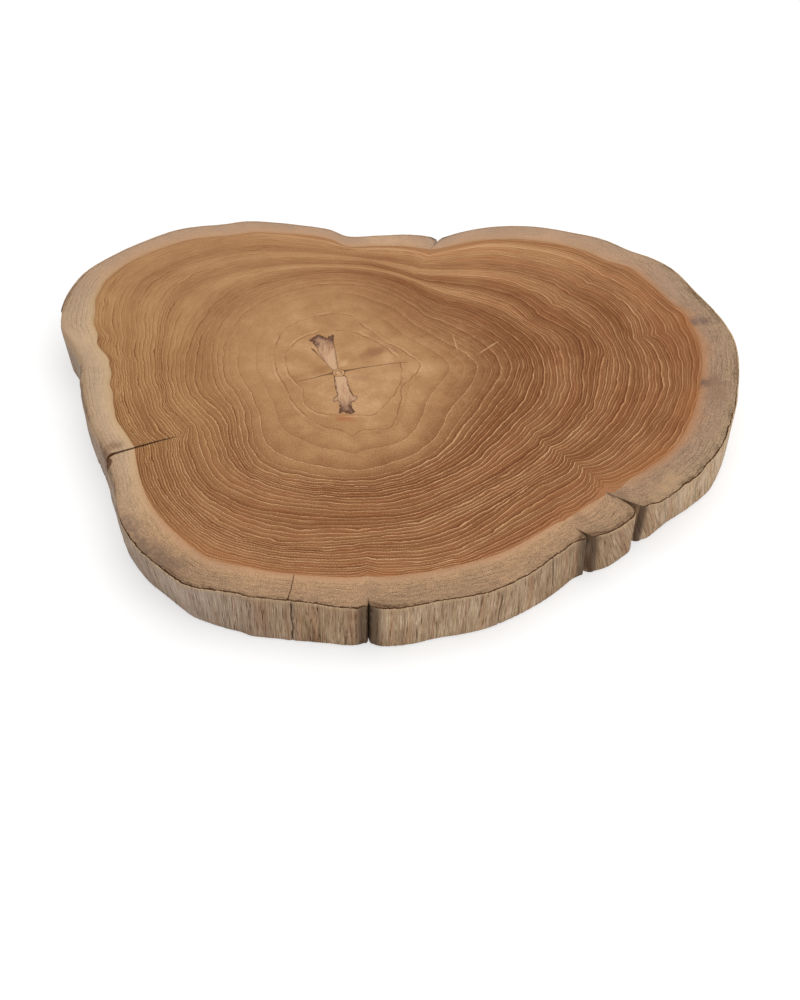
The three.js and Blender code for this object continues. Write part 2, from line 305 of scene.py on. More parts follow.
# Flutes: lines of radius, bearing and pull along which the rings kink inwards, each with its width in degrees
flutes = [
    (2.2, [
        (90, -15.4, 0.5), (111, -22, 1.2), (134, -28, 3), (153, -30, 7), (172, -32.1, 9), (185, -33.6, 10),
        (200, -34.4, 8),
    ]),
    (3.0, [
        (115, 22.5, 0), (125, 23.8, 2.5), (150, 27.6, 3.5), (169, 29.4, 4.5), (192, 30.3, 3),
        (205, 30.5, 1.5),
    ]),
    (4.0, [(160, 9, 0), (172, 10, 3.5), (185, 10.5, 5), (196, 11, 3), (206, 11.5, 0.8)]),
    (2.5, [(95, 64.5, 0), (107, 64.4, 1.5), (124, 64.3, 4), (135, 64.5, 5)]),
    (2.5, [(115, 165.5, 0), (132, 165.7, 2), (142, 167.5, 3), (150, 168, 1)]),
    (2.0, [(112, 174, 0), (125, 174.6, 2), (135, 175.4, 3), (145, 176, 1)]),
    (2.0, [(86, 210, 0), (98, 210, 2), (107, 211, 2.5), (120, 210, 1.5), (140, 209.5, 0.5)]),
    (1.6, [(138, 277.5, 0), (157, 276.6, 2.5), (170, 276.2, 3), (185, 275.9, 3)]),
    (2.0, [(148, 317.5, 0), (163, 318, 1.5), (176, 316, 2), (188, 315, 3)]),
]
pithShape = {
    "width": 7.6,
    "depth": 6.8,
    "columns": 64,
    "dip": 0.5,
    # from the middle out: share of the radius and of the dip, two low rings round a sunk middle
    "crown": [
        (0, 1), (0.18, 0.9), (0.3, 0.2), (0.4, 0.5), (0.55, 0.8), (0.72, 0.1), (0.86, 0), (0.96, 0.3), (1, 1),
    ],
    "clearance": 0.05,
    "cutterClearance": 0.1,
}


def closedRing(points):
    before = [(bearing - 360, radius) for bearing, radius in points[-3:]]
    after = [(bearing + 360, radius) for bearing, radius in points[:3]]
    return smoothCurve(before + points + after, ringSteps)


ringCurves = {name: closedRing(points) for name, (number, points) in figure.items()}


# bearing and radius of points of the board, the radius as it would be at the top
def polarOf(points):
    x, y = points[:, 0] - pithX, points[:, 1] - pithY
    first = board["firstBearing"]
    bearing = (np.degrees(np.arctan2(y, x)) - first) % 360 + first
    below = 1 - points[:, 2] / thickness
    return bearing, np.hypot(x, y) / (1 - below * insetAt(bearing) / rimAt(bearing))


def ringAt(ringName, bearing):
    return np.interp(bearing, ringCurves[ringName][:, 0], ringCurves[ringName][:, 1])


# degrees between bearings, either way round
def turnedFrom(bearing, other):
    return np.abs((bearing - other + 180) % 360 - 180)


# ring number at points of the board, with fractions between the rings
def growthAt(points):
    bearing, radius = polarOf(points)
    bent = radius.copy()
    for width, line in flutes:
        radii, bearings, pulls = np.array(line, float).T
        away = turnedFrom(bearing, np.interp(radius, radii, bearings))
        bent += np.interp(radius, radii, pulls) * np.exp(-away / width)
    growth = np.zeros(len(points))
    number, inner = 0, np.full(len(points), pithShape["width"] / 2)
    steps = [(ring, ringAt(name, bearing)) for name, (ring, knots) in figure.items()]
    steps += [(heartRing, heartAt(bearing)), (rimRing, rimAt(bearing))]
    for ring, radii in steps:
        growth += (ring - number) * np.clip((bent - inner) / np.maximum(radii - inner, leastRing), 0, 1)
        number, inner = ring, np.maximum(radii, inner + leastRing)
    return growth


# rings in each millimetre outwards
def paceAt(points):
    flat = points[:, :2] - [pithX, pithY]
    step = np.zeros(points.shape)
    step[:, :2] = flat / np.hypot(*flat.T)[:, None]
    return np.clip((growthAt(points + step) - growthAt(points - step)) / 2, *paceRange)


# Meshes: a grid laid over rows and columns of places, closed where the places meet.
meetDistance = 0.0005


def laidGrid(places, marks=None):
    columns, rows = places.shape[0] - 1, places.shape[1] - 1
    bm = bmesh.new()
    layers = [(bm.verts.layers.float.new(name), values) for name, values in (marks or {}).items()]
    bmesh.ops.create_grid(bm, x_segments=columns, y_segments=rows, size=1)
    for vert in bm.verts:
        column = round((vert.co.x + 1) / 2 * columns)
        row = round((vert.co.y + 1) / 2 * rows)
        for layer, values in layers:
            vert[layer] = values[column, row]
        vert.co = Vector(places[column, row])
    bmesh.ops.remove_doubles(bm, verts=bm.verts, dist=meetDistance)
    bmesh.ops.dissolve_degenerate(bm, edges=bm.edges, dist=meetDistance)
    bmesh.ops.recalc_face_normals(bm, faces=bm.faces)
    return bm


def finishPiece(bm, name):
    bmesh.ops.scale(bm, vec=Vector((toMetres, toMetres, toMetres)), verts=bm.verts)
    mesh = bpy.data.meshes.new(name)
    bm.to_mesh(mesh)
    bm.free()
    for polygon in mesh.polygons:
        polygon.use_smooth = True
    piece = bpy.data.objects.new(name, mesh)
    bpy.context.scene.collection.objects.link(piece)
    return piece


def meshPoints(piece):
    points = np.zeros(len(piece.data.vertices) * 3)
    piece.data.vertices.foreach_get("co", points)
    return points.reshape(-1, 3) / toMetres


# a number at each point of a mesh, which the finish reads
def setMark(piece, name, values):
    attribute = piece.data.attributes.new(name, "FLOAT", "POINT")
    attribute.data.foreach_set("value", np.asarray(values, np.float32))


def cutAway(piece, cutters):
    for cutter in cutters:
        modifier = piece.modifiers.new("cut", "BOOLEAN")
        modifier.operation = "DIFFERENCE"
        modifier.solver = "MANIFOLD"
        modifier.object = cutter
    evaluated = piece.evaluated_get(bpy.context.evaluated_depsgraph_get())
    mesh = bpy.data.meshes.new_from_object(evaluated)
    piece.modifiers.clear()
    old, piece.data = piece.data, mesh
    bpy.data.meshes.remove(old)
    mesh.name = piece.name


def sharpenEdges(piece, degrees):
    piece.data.set_sharp_from_angle(angle=math.radians(degrees))


def flatNoise(points, scale, seed):
    return np.array([noise.noise(Vector((x * scale, y * scale, seed))) for x, y in points])


# noise round the rim, the same on every piece: layers of share, scale and seed
def rimNoise(bearing, layers):
    angle = np.radians(np.atleast_1d(bearing))
    points = np.column_stack([np.cos(angle), np.sin(angle)]) * board["noiseRadius"]
    return sum(share * flatNoise(points, scale, seed) for share, scale, seed in layers)


# Cracks: points of x, y and width from the pith, how deep they go, and how far they stain the top
cracks = {
    "dryingCheck": {"depth": 40, "stain": 0.8, "line": [
        (-90.4, -55.8, 0.1), (-97, -58.3, 0.6), (-104.7, -61.4, 0.9), (-115.6, -66.2, 1.2), (-122, -69, 1.5),
        (-126.5, -71.2, 2.0), (-130.5, -73.6, 2.8), (-150, -84.5, 4.2),
    ]},
    "pithCheckLeft": {"depth": 1.5, "stain": 0.74, "line": [
        (-3, -0.4, 1.3), (-6.5, -1.7, 0.8), (-10, -2.8, 0.4), (-13, -4.3, 0.3), (-16, -5.2, 0.2),
        (-24, -8, 0.06),
    ]},
    "pithCheckRight": {"depth": 1.5, "stain": 0.74, "line": [
        (3, 1.4, 1.3), (7, 2.5, 0.8), (12, 4.1, 0.45), (20, 5.8, 0.25), (30, 8.1, 0.14), (40, 9.4, 0.05),
    ]},
    "frontCheck": {"depth": 9, "stain": 0.7, "line": [
        (-20.6, -163, 0.1), (-21.2, -170, 0.4), (-22.2, -178, 0.5), (-23.4, -184, 0.6), (-24.4, -196, 0.7),
    ]},
    "backCrease": {"depth": 6, "stain": 0.5, "line": [
        (53.4, 114.4, 0.06), (55, 117.8, 0.3), (57.6, 123.2, 0.5), (60.2, 128.6, 0.9), (62, 132.4, 1.2),
    ]},
    "stubSplit": {"depth": 1.2, "stain": 0.7, "line": [
        (-16.4, 22.2, 0.3), (-15, 20.6, 1.3), (-13.4, 18.2, 0.7), (-11.6, 15, 0.25), (-8.6, 10.4, 0.15),
        (-5.4, 6.6, 0.06),
    ]},
}
crackCut = {
    "steps": 6,
    "over": 4,  # cutters stand this far above the top
    "foot": 0.15,  # width left at the bottom of a shallow crack
    "ragged": 0.5,
    "raggedScale": 0.45,
    "surface": 0.05,  # what lies no deeper counts as the top
    "deeper": 0.5,
    "beside": 0.6,
    "stainAndShadeFades": 0.7,
}
# the check gapes at the rim, widest at the top
mouthChip = {
    "bearing": 210.6,
    "radius": 151,
    "width": 10,
    "depth": 16,
    "over": 4,
    "sides": 12,
    "foot": 0.2,
    "leastWidth": 0.04,  # share that is left at the bottom
    "stainAndShadeFades": 0.6,
}
chipX = pithX + mouthChip["radius"] * math.cos(math.radians(mouthChip["bearing"]))
chipY = pithY + mouthChip["radius"] * math.sin(math.radians(mouthChip["bearing"]))


def crackCutter(name):
    spec = cracks[name]
    line = smoothCurve(spec["line"], crackCut["steps"])
    flat, width = line[:, :2], line[:, 2:3]
    run = unitRun(flat)
    side = np.stack([-run[:, 1], run[:, 0]], axis=1)
    ragged = flatNoise(flat, crackCut["raggedScale"], 3)[:, None] * np.minimum(width, 1) * crackCut["ragged"]
    centre = flat + [pithX, pithY] + side * ragged
    top, bottom = thickness + crackCut["over"], thickness - spec["depth"]
    foot = 1 if spec["depth"] > thickness else crackCut["foot"]
    corners = ((1, top), (-1, top), (-foot, bottom), (foot, bottom), (1, top))
    loop = [atHeight(centre + side * (share * width / 2), z) for share, z in corners]
    bm = laidGrid(np.stack(loop, axis=1))
    bmesh.ops.holes_fill(bm, edges=[border for border in bm.edges if border.is_boundary], sides=0)
    bmesh.ops.recalc_face_normals(bm, faces=bm.faces)
    return finishPiece(bm, "cutter_" + name)


def chipCutter():
    bm = bmesh.new()
    height = mouthChip["depth"] + mouthChip["over"]
    wide = mouthChip["width"] / 2 * height / mouthChip["depth"]
    sides, foot = mouthChip["sides"], mouthChip["foot"]
    bmesh.ops.create_cone(bm, cap_ends=True, segments=sides, radius1=foot, radius2=wide, depth=height)
    middle = thickness + mouthChip["over"] - height / 2
    bmesh.ops.translate(bm, vec=Vector((chipX, chipY, middle)), verts=bm.verts)
    return finishPiece(bm, "cutter_chip")


# painted shade in the chip's hollow, fading out beside it on top
def chipShade(points):
    sunk = thickness - points[:, 2]
    wide = mouthChip["width"] / 2 * np.clip(1 - sunk / mouthChip["depth"], mouthChip["leastWidth"], 1)
    gap = np.hypot(points[:, 0] - chipX, points[:, 1] - chipY) - wide
    return np.exp(-np.clip(gap, 0, None) / mouthChip["stainAndShadeFades"]) * (sunk < mouthChip["depth"])


# how dark a crack makes each point: full inside it as painted shade, fading beside it on top as its stain
def crackShade(points, names):
    shade = np.zeros(len(points))
    flat = points[:, :2] - [pithX, pithY]
    sunk = thickness - points[:, 2]
    onTop = sunk < crackCut["surface"]
    for name in names:
        spec = cracks[name]
        line = smoothCurve(spec["line"], crackCut["steps"])
        run = line[1:, :2] - line[:-1, :2]
        beside = flat[:, None, :] - line[None, :-1, :2]
        share = np.clip((beside * run).sum(axis=2) / (run * run).sum(axis=1), 0, 1)
        width = line[:-1, 2] + share * (line[1:, 2] - line[:-1, 2])
        gap = (np.linalg.norm(beside - share[..., None] * run, axis=2) - width / 2).min(axis=1)
        within = (sunk < spec["depth"] + crackCut["deeper"]) & (gap < crackCut["beside"])
        stain = spec["stain"] * np.exp(-np.clip(gap, 0, None) / crackCut["stainAndShadeFades"]) * onTop
        shade = np.maximum(shade, np.where((sunk > crackCut["surface"]) & within, 1, stain))
    return shade


# The natural edge: a fibrous skin over most of it, with an open seam behind
edge = {
    "skin": 1.2,  # thickness
    "thinnest": 0.02,
    "startSlack": 1e-6,  # degrees that keep a strip's first bearing in it
    "seam": 0.6,
    "seamDepth": 1.2,
    "seamFilled": 0.7,  # how much of it is filled farther down
    "seamBehind": 0.06,  # how much of it is open round the back
    "seamLeast": 0.1,
    # unevenness: layers of share, scale and seed
    "unevenSkin": [(0.4, 0.12, 5), (0.35, 0.35, 7), (0.3, 0.9, 6)],
    "unevenSeam": [(1.1, 0.3, 8), (0.9, 1.3, 9)],
    "unevenTop": [(1, 0.3, 2), (0.8, 1.2, 4)],
    "topBehind": 0.15,  # how ragged the top is round the back
    "topDrop": 0.6,
    "topMore": 0.2,
    "topGap": 0.05,
    "spacing": 0.45,  # between columns of the skin's mesh
    "rowCount": 14,
    "lift": 0.6,
    "drop": 0.3,
    "ease": 0.45,
    "easeTop": 1.4,
    "easeFoot": 1,
    "easeFootShare": 0.6,
    "deepest": 0.85,  # share of the skin that relief can take
    "calmHeights": (20, 30),  # round the back the relief dies away upwards
    "calm": 0.75,
    "grooveBehind": 0.4,
    # height of the pale top edge: partly the skin's own colour, partly a painted highlight
    "crust": 0.7,
    "crustAndHighlightBehind": 2,
    # how far the painted shade of a fold reaches along the skin
    "foldReach": (2.5, 7.5),
    "wornTaper": 2,  # a longer taper ends on a worn edge and not in a fold
    "farOff": 99,
    "sharp": 60,
    "waves": 0.5,
    "fibres": 0.4,
    # noise of the relief: scale across, scale down, seed
    "waveNoise": (0.13, 0.02, 1),
    "fibreNoises": [(0.5, 0.03, 11), (1.1, 0.06, 23)],
    # along the front the wall is seen: degrees past the left
    "seenFrom": (33, 48),
    "seenTo": (165, 185),
    "lean": 0.4,  # sideways run of the fibres as they go down, on the knuckle and beside it
    "leanGrows": (312, 320),
    "leanFades": (338, 360),
    "splitNear": 4,
    "splitEnd": 2,
    "splitWaver": 0.8,
    "splitWaverScale": 0.12,
    # cracks down the wall: bearing, width, depth, and from which height to which
    "splits": [
        (263.3, 0.5, 1.6, 0, 34), (297.2, 0.55, 1.3, 0, 27), (307.6, 0.7, 1.3, 8, 32),
        (330.8, 0.5, 1.1, 4, 30), (337.6, 0.5, 1.1, 3, 28), (340.8, 0.4, 0.9, 2, 22),
        (267.7, 0.8, 0.9, 2, 26), (289.7, 0.7, 0.9, 6, 19), (256.2, 0.6, 1.1, 13, 22),
        (261.2, 0.5, 0.9, 6, 12), (236, 0.5, 1.0, 12, 30), (293.6, 0.7, 0.8, 5, 30),
        (246.5, 0.6, 0.7, 5, 25), (320.6, 0.5, 0.6, 4, 24), (352, 0.5, 0.7, 6, 30),
        (6, 0.6, 0.8, 0, 24), (19, 0.6, 0.8, 6, 32), (33, 0.6, 0.9, 2, 28),
        (47, 0.5, 0.8, 0, 30), (58, 0.6, 0.8, 8, 28), (72, 0.6, 0.8, 0, 24),
        (83, 0.6, 0.8, 6, 32), (97, 0.5, 0.8, 2, 26), (109, 0.6, 0.9, 0, 32),
        (122, 0.6, 0.8, 4, 26), (138, 0.6, 0.7, 0, 22), (149, 0.6, 0.7, 6, 30),
        (186, 0.6, 0.6, 2, 20), (199, 0.6, 0.6, 0, 22),
    ],
}
fineBearing, rimRun = rimSpan(rimBearing[0], rimBearing[0] + 360, 12000)
foldBearings = [lobe["fold"][0] for name, lobe in lobes.items() if name != "front_left"]


# 1 along the front, where the wall is seen, and 0 round the back
def frontness(bearing):
    return between((np.asarray(bearing, float) - 180) % 360, edge["seenFrom"], edge["seenTo"])


# where a point lies across the upright fibres, in millimetres round the rim
def strandAt(bearing, z):
    bearing = np.asarray(bearing, float)
    lean = edge["lean"] * between(bearing % 360, edge["leanGrows"], edge["leanFades"])
    wrapped = (bearing - rimBearing[0]) % 360 + rimBearing[0]
    return np.interp(wrapped, fineBearing, rimRun) + lean * z


# millimetres round the rim to the nearest fold
def foldGap(bearing):
    here = strandAt(bearing, 0)
    away = [np.abs(here - strandAt(fold, 0)) for fold in foldBearings]
    return np.min([np.minimum(gap, rimRun[-1] - gap) for gap in away], axis=0)


def fibreNoise(strand, z, spec):
    across, down, seed = spec
    return np.array([noise.noise(Vector((s * across, h * down, seed))) for s, h in zip(strand, z)])


# how far the fibres stand back from the rim
def wallRelief(points, bearing):
    z = points[:, 2]
    strand = strandAt(bearing, z)
    relief = edge["waves"] * (fibreNoise(strand, z, edge["waveNoise"]) * 0.5 + 0.5)
    relief += edge["fibres"] * sum(np.abs(fibreNoise(strand, z, spec)) for spec in edge["fibreNoises"])
    soft = edge["splitEnd"]
    for at, width, depth, low, high in edge["splits"]:
        near = turnedFrom(bearing, at) < edge["splitNear"]
        waver = [noise.noise(Vector((at, 0, height * edge["splitWaverScale"]))) for height in z[near]]
        across = strand[near] - strandAt(at, thickness / 2) - np.array(waver) * edge["splitWaver"]
        reach = between(z[near], (low - soft, low + soft), (high - soft, high + soft))
        relief[near] += depth * reach * np.exp(-(across / width) ** 2)
    return relief


# share of the full skin at a bearing: nothing in the folds and on the worn left side
def skinShare(bearing):
    share = np.zeros(np.shape(bearing))
    for lobe in lobes.values():
        start, end = lobe["skin"]
        inTaper, outTaper = lobe["taper"]
        turned = (np.asarray(bearing, float) - start + edge["startSlack"]) % 360 + start
        share = np.maximum(share, between(turned, (start, start + inTaper), (end - outTaper, end)))
    return share


def skinAt(bearing):
    return edge["skin"] * skinShare(bearing) * (1 + rimNoise(bearing, edge["unevenSkin"]))


# the seam shows along the front and closes up round the back
def seamAt(bearing):
    gape = edge["seamBehind"] + (1 - edge["seamBehind"]) * frontness(bearing)
    uneven = np.maximum(1 + rimNoise(bearing, edge["unevenSeam"]), edge["seamLeast"])
    return edge["seam"] * skinShare(bearing) * gape * uneven


cutters = {name: crackCutter(name) for name in cracks}
cutters["mouthChip"] = chipCutter()
print("cracks drawn")

# Pith and branch stubs
stubShape = {
    "rear": {
        "node": "rear_branch_stub",
        "outline": [
            (-0.5, 3), (-1.4, 13.8), (-2.3, 21.1), (-3.4, 28.4), (-3, 34.8), (-5, 34.3), (-7.9, 32.1),
            (-10.3, 34.3), (-13.3, 34.8), (-15.9, 32.1), (-18.1, 29.9), (-16.6, 28.2), (-14.2, 24.7),
            (-11.1, 16.5), (-8, 9.8), (-5.6, 5.4), (-3.4, 2.6),
        ],
        "tip": (-9.6, 33), "edging": 0.45,
    },
    "front": {
        "node": "front_branch_stub",
        "outline": [
            (-2.2, -2.4), (-2, -9.5), (-1.2, -15.7), (-0.4, -20.1), (-2.6, -22.7), (-2.1, -26.2), (-0.1, -25),
            (1.3, -28), (1.2, -32.3), (1, -35.8), (3.7, -34.4), (6, -36.1), (9.9, -34.9), (8.4, -30.6),
            (7.9, -26.8), (10.2, -24.5), (11.2, -21), (9.2, -20.1), (7.4, -15.7), (5.9, -10.4), (4.2, -2.8),
        ],
        "tip": (5, -35.2), "edging": 0.95,
    },
    "floor": 6,
    "falls": (0.35, 0.7, 1),
    "tipShare": 0.2,  # size of a stub's foot
    "steps": 24,  # between points of an outline
    "columns": 200,
    "fray": 0.9,
    "frayScale": 0.9,
    "frayed": (20, 31),  # from the pith
    # from the middle out: share of the radius, and how far below the top
    "crown": [(0, 0.15), (0.3, 0.1), (0.55, 0.12), (0.75, 0.05), (0.88, 0.1), (0.95, 0.2), (1, 0.45)],
    "cutterClearance": 0.05,
    "sharp": 40,
}
cutterOver = 6


def pithRadius(bearing, grow):
    angle = np.radians(bearing)
    halfWidth, halfDepth = pithShape["width"] / 2 + grow, pithShape["depth"] / 2 + grow
    return 1 / np.hypot(np.cos(angle) / halfWidth, np.sin(angle) / halfDepth)


def pithMesh(path, grow, name):
    bearing = np.linspace(0, 360, pithShape["columns"] + 1)
    angle = np.radians(bearing)
    rows = []
    for share, z in path:
        radius = pithRadius(bearing, grow) * share
        x, y = pithX + radius * np.cos(angle), pithY + radius * np.sin(angle)
        rows.append(atHeight(np.column_stack([x, y]), z))
    places = np.stack(rows, axis=1)
    places[-1] = places[0]
    return finishPiece(laidGrid(places), name)


def stubOutline(spec, grow):
    steps = stubShape["steps"]
    points = [*spec["outline"][-2:], *spec["outline"], *spec["outline"][:2]]
    line = smoothCurve(points, steps)[2 * steps:-steps]
    run = runAlong(line)
    even = np.linspace(0, run[-1], stubShape["columns"] + 1)
    line = np.column_stack([np.interp(even, run, line[:, 0]), np.interp(even, run, line[:, 1])])
    # frayed end
    frayed = smoothStep(np.hypot(*line.T), *stubShape["frayed"])
    ragged = flatNoise(line, stubShape["frayScale"], 3) * stubShape["fray"] * frayed
    run = unitRun(line)
    out = np.stack([run[:, 1], -run[:, 0]], axis=1)
    line = line + out * (ragged + grow)[:, None]
    line[-1] = line[0]
    return line


def stubMesh(spec, crown, grow, name):
    line = stubOutline(spec, grow)
    centre = line[:-1].mean(axis=0)
    fallen, tipShare = thickness - stubShape["floor"] + grow, stubShape["tipShare"]
    levels = [(share, thickness - sunk, 1) for share, sunk in crown]
    levels += [(1, thickness - fall * fallen, 1 - (1 - tipShare) * fall) for fall in stubShape["falls"]]
    levels.append((0, levels[-1][1], tipShare))
    rows = []
    for share, z, taper in levels:
        rows.append(atHeight((centre + (line - centre) * share) * taper + [pithX, pithY], z))
    return finishPiece(laidGrid(np.stack(rows, axis=1)), name)


cutterTop = thickness + cutterOver
cutterPath = [(0, cutterTop), (1, cutterTop), (1, -cutterOver), (0, -cutterOver)]
cutters["pith"] = pithMesh(cutterPath, pithShape["cutterClearance"], "cutter_pith")
pithPath = [(share, thickness - pithShape["dip"] * sunk) for share, sunk in pithShape["crown"]]
pith = pithMesh([*pithPath, (1, thickness / 2), (1, 0), (0, 0)], 0, "pith_core")
stubs = {}
for side in ("rear", "front"):
    spec = stubShape[side]
    stub = stubMesh(spec, stubShape["crown"], 0, side + "_stub")
    overCrown = [(0, -cutterOver), (1, -cutterOver), (1, 0)]
    cutters[side] = stubMesh(spec, overCrown, stubShape["cutterClearance"], "cutter_" + side)
    cutAway(stub, [cutters["pith"]])
    flat = meshPoints(stub)[:, :2] - [pithX, pithY]
    line = stubOutline(spec, 0)
    setMark(stub, "border", np.linalg.norm(flat[:, None, :] - line[None, :, :], axis=2).min(axis=1))
    setMark(stub, "tipward", np.hypot(*flat.T) / math.hypot(*spec["tip"]))
    setMark(stub, "edging", np.full(len(flat), spec["edging"]))
    sharpenEdges(stub, stubShape["sharp"])
    stubs[side] = stub
print("pith and stubs made")

# Heartwood: a flat slab round the pith
heartShape = {
    "topRows": 56,
    "topPower": 0.85,  # rows lie closer at the pith
    "wallRows": 3,
    "underRows": 14,
    "sharp": 35,
    "cracks": ["dryingCheck", "pithCheckLeft", "pithCheckRight", "stubSplit"],
}


def heartwoodMesh():
    bearing = spacedBearings(rimBearing[0], rimBearing[0] + 360, board["columns"])
    hole, heart = pithRadius(bearing, pithShape["clearance"]), heartAt(bearing)
    top = np.full(len(bearing), thickness)
    rows = []
    for step in range(heartShape["topRows"]):
        share = (step / heartShape["topRows"]) ** heartShape["topPower"]
        rows.append(onBoard(bearing, hole + (heart - hole) * share, top))
    for step in range(heartShape["wallRows"]):
        rows.append(onBoard(bearing, heart, top * (1 - step / heartShape["wallRows"])))
    for step in range(heartShape["underRows"] + 1):
        share = 1 - step / heartShape["underRows"]
        rows.append(onBoard(bearing, hole + (heart - hole) * share, top * 0))
    rows.append(rows[0])
    places = np.stack(rows, axis=1)
    places[-1] = places[0]
    return finishPiece(laidGrid(places), "heartwood_slab")


heartwood = heartwoodMesh()
cutAway(heartwood, [cutters[name] for name in ("rear", "front", *heartShape["cracks"])])
heartPoints = meshPoints(heartwood)
heartBearing, heartOut = polarOf(heartPoints)
setMark(heartwood, "growth", growthAt(heartPoints))
setMark(heartwood, "pace", paceAt(heartPoints))
setMark(heartwood, "crack", crackShade(heartPoints, heartShape["cracks"]))
for ring in ("ovalRing", "wavyRing"):
    setMark(heartwood, ring, heartOut - ringAt(ring, heartBearing))
sharpenEdges(heartwood, heartShape["sharp"])
print("heartwood made:", len(heartwood.data.polygons), "faces")

# Sapwood: it stands behind the skin, and rolls over where it is bare
sapShape = {
    "moreColumns": 400,
    "topRows": 12,
    "rollRows": 5,
    "wallRows": 10,
    "wallPower": 1.8,  # rows lie closer at the top
    "underRows": 5,
    "roll": 5,
    "easedRoll": 0.6,
    "bareFrom": (158, 172),  # the worn left side, which has no skin
    "bareTo": (212, 226),
    "bareBack": 0.25,
    "sharp": 50,
    "cracks": ["dryingCheck", "frontCheck", "backCrease"],
    # where the finish changes: below the top, above the underside, from a fold for its painted shade, inside
    # the rim
    "side": (0.3, 4),
    "underside": (0, 0.5),
    "fold": (9, 15),
    "behindSkin": (6, 4),
    "seam": (0.08, 0.5),
    "seamFoot": 1,
}


def bareness(bearing):
    return between(np.asarray(bearing, float) % 360, sapShape["bareFrom"], sapShape["bareTo"])


def sapwoodMesh():
    bearing = spacedBearings(rimBearing[0], rimBearing[0] + 360, board["columns"] + sapShape["moreColumns"])
    heart, share = heartAt(bearing), skinShare(bearing)
    roll = sapShape["easedRoll"] + sapShape["roll"] * bareness(bearing)
    outer = rimAt(bearing) - skinAt(bearing) - seamAt(bearing) - sapShape["bareBack"] * (1 - share)
    top = np.full(len(bearing), thickness)
    rows = []
    for step in range(sapShape["topRows"] + 1):
        rows.append(onBoard(bearing, heart + (outer - roll - heart) * step / sapShape["topRows"], top))
    for step in range(1, sapShape["rollRows"] + 1):
        angle = math.pi / 2 * step / sapShape["rollRows"]
        inward, fall = roll * (1 - math.sin(angle)), roll * (1 - math.cos(angle))
        rows.append(onBoard(bearing, outer - inward, top - fall))
    filled = edge["seamFilled"] * seamAt(bearing)
    for step in range(1, sapShape["wallRows"] + 1):
        fall = (step / sapShape["wallRows"]) ** sapShape["wallPower"]
        z = (top - roll) * (1 - fall) + roll / 2 * fall
        closing = smoothStep(top - z, edge["seamDepth"] * 0.5, edge["seamDepth"])
        rows.append(onBoard(bearing, outer + filled * closing, z))
    for step in range(sapShape["underRows"] + 1):
        inward = step / sapShape["underRows"]
        rows.append(onBoard(bearing, outer - roll / 2 + (heart - outer + roll / 2) * inward, top * 0))
    rows.append(onBoard(bearing, heart, top / 2))
    rows.append(rows[0])
    places = np.stack(rows, axis=1)
    # fibres stand back on the bare wall
    firstWall = sapShape["topRows"] + 3
    lastWall = sapShape["topRows"] + sapShape["rollRows"] + sapShape["wallRows"] + 1
    angle = np.radians(bearing)
    for row in range(firstWall, lastWall):
        relief = wallRelief(places[:, row], bearing) * (1 - share)
        places[:, row, 0] -= relief * np.cos(angle)
        places[:, row, 1] -= relief * np.sin(angle)
    places[-1] = places[0]
    return finishPiece(laidGrid(places), "sapwood_ring")


def markSapwood(piece):
    points = meshPoints(piece)
    bearing, out = polarOf(points)
    height, sunk = points[:, 2], thickness - points[:, 2]
    inside = rimAt(bearing) - out
    setMark(piece, "growth", growthAt(points))
    # painted shade inside the cracks and the chip; beside the cracks on top, their stain
    setMark(piece, "crack", np.maximum(crackShade(points, sapShape["cracks"]), chipShade(points)))
    setMark(piece, "depth", inside)
    rolled = sapShape["roll"] * bareness(bearing)
    onSide = smoothStep(sunk - rolled, *sapShape["side"]) * smoothStep(height, *sapShape["underside"])
    setMark(piece, "side", onSide)
    # painted shade in the folds: how near a fold each point lies
    setMark(piece, "fold", 1 - smoothStep(foldGap(bearing), *sapShape["fold"]))
    # painted shade: along the front, the sapwood's wall behind the skin is darkened where the seam gap lies
    seam = smoothStep(sunk, *sapShape["seam"]) * (height > sapShape["seamFoot"])
    seam = seam * frontness(bearing) * skinShare(bearing) * smoothStep(inside, *sapShape["behindSkin"])
    setMark(piece, "seam", seam)
    setMark(piece, "strand", strandAt(bearing, height))


sapwood = sapwoodMesh()
cutAway(sapwood, [cutters[name] for name in ("mouthChip", *sapShape["cracks"])])
markSapwood(sapwood)
sharpenEdges(sapwood, sapShape["sharp"])
print("sapwood made:", len(sapwood.data.polygons), "faces")


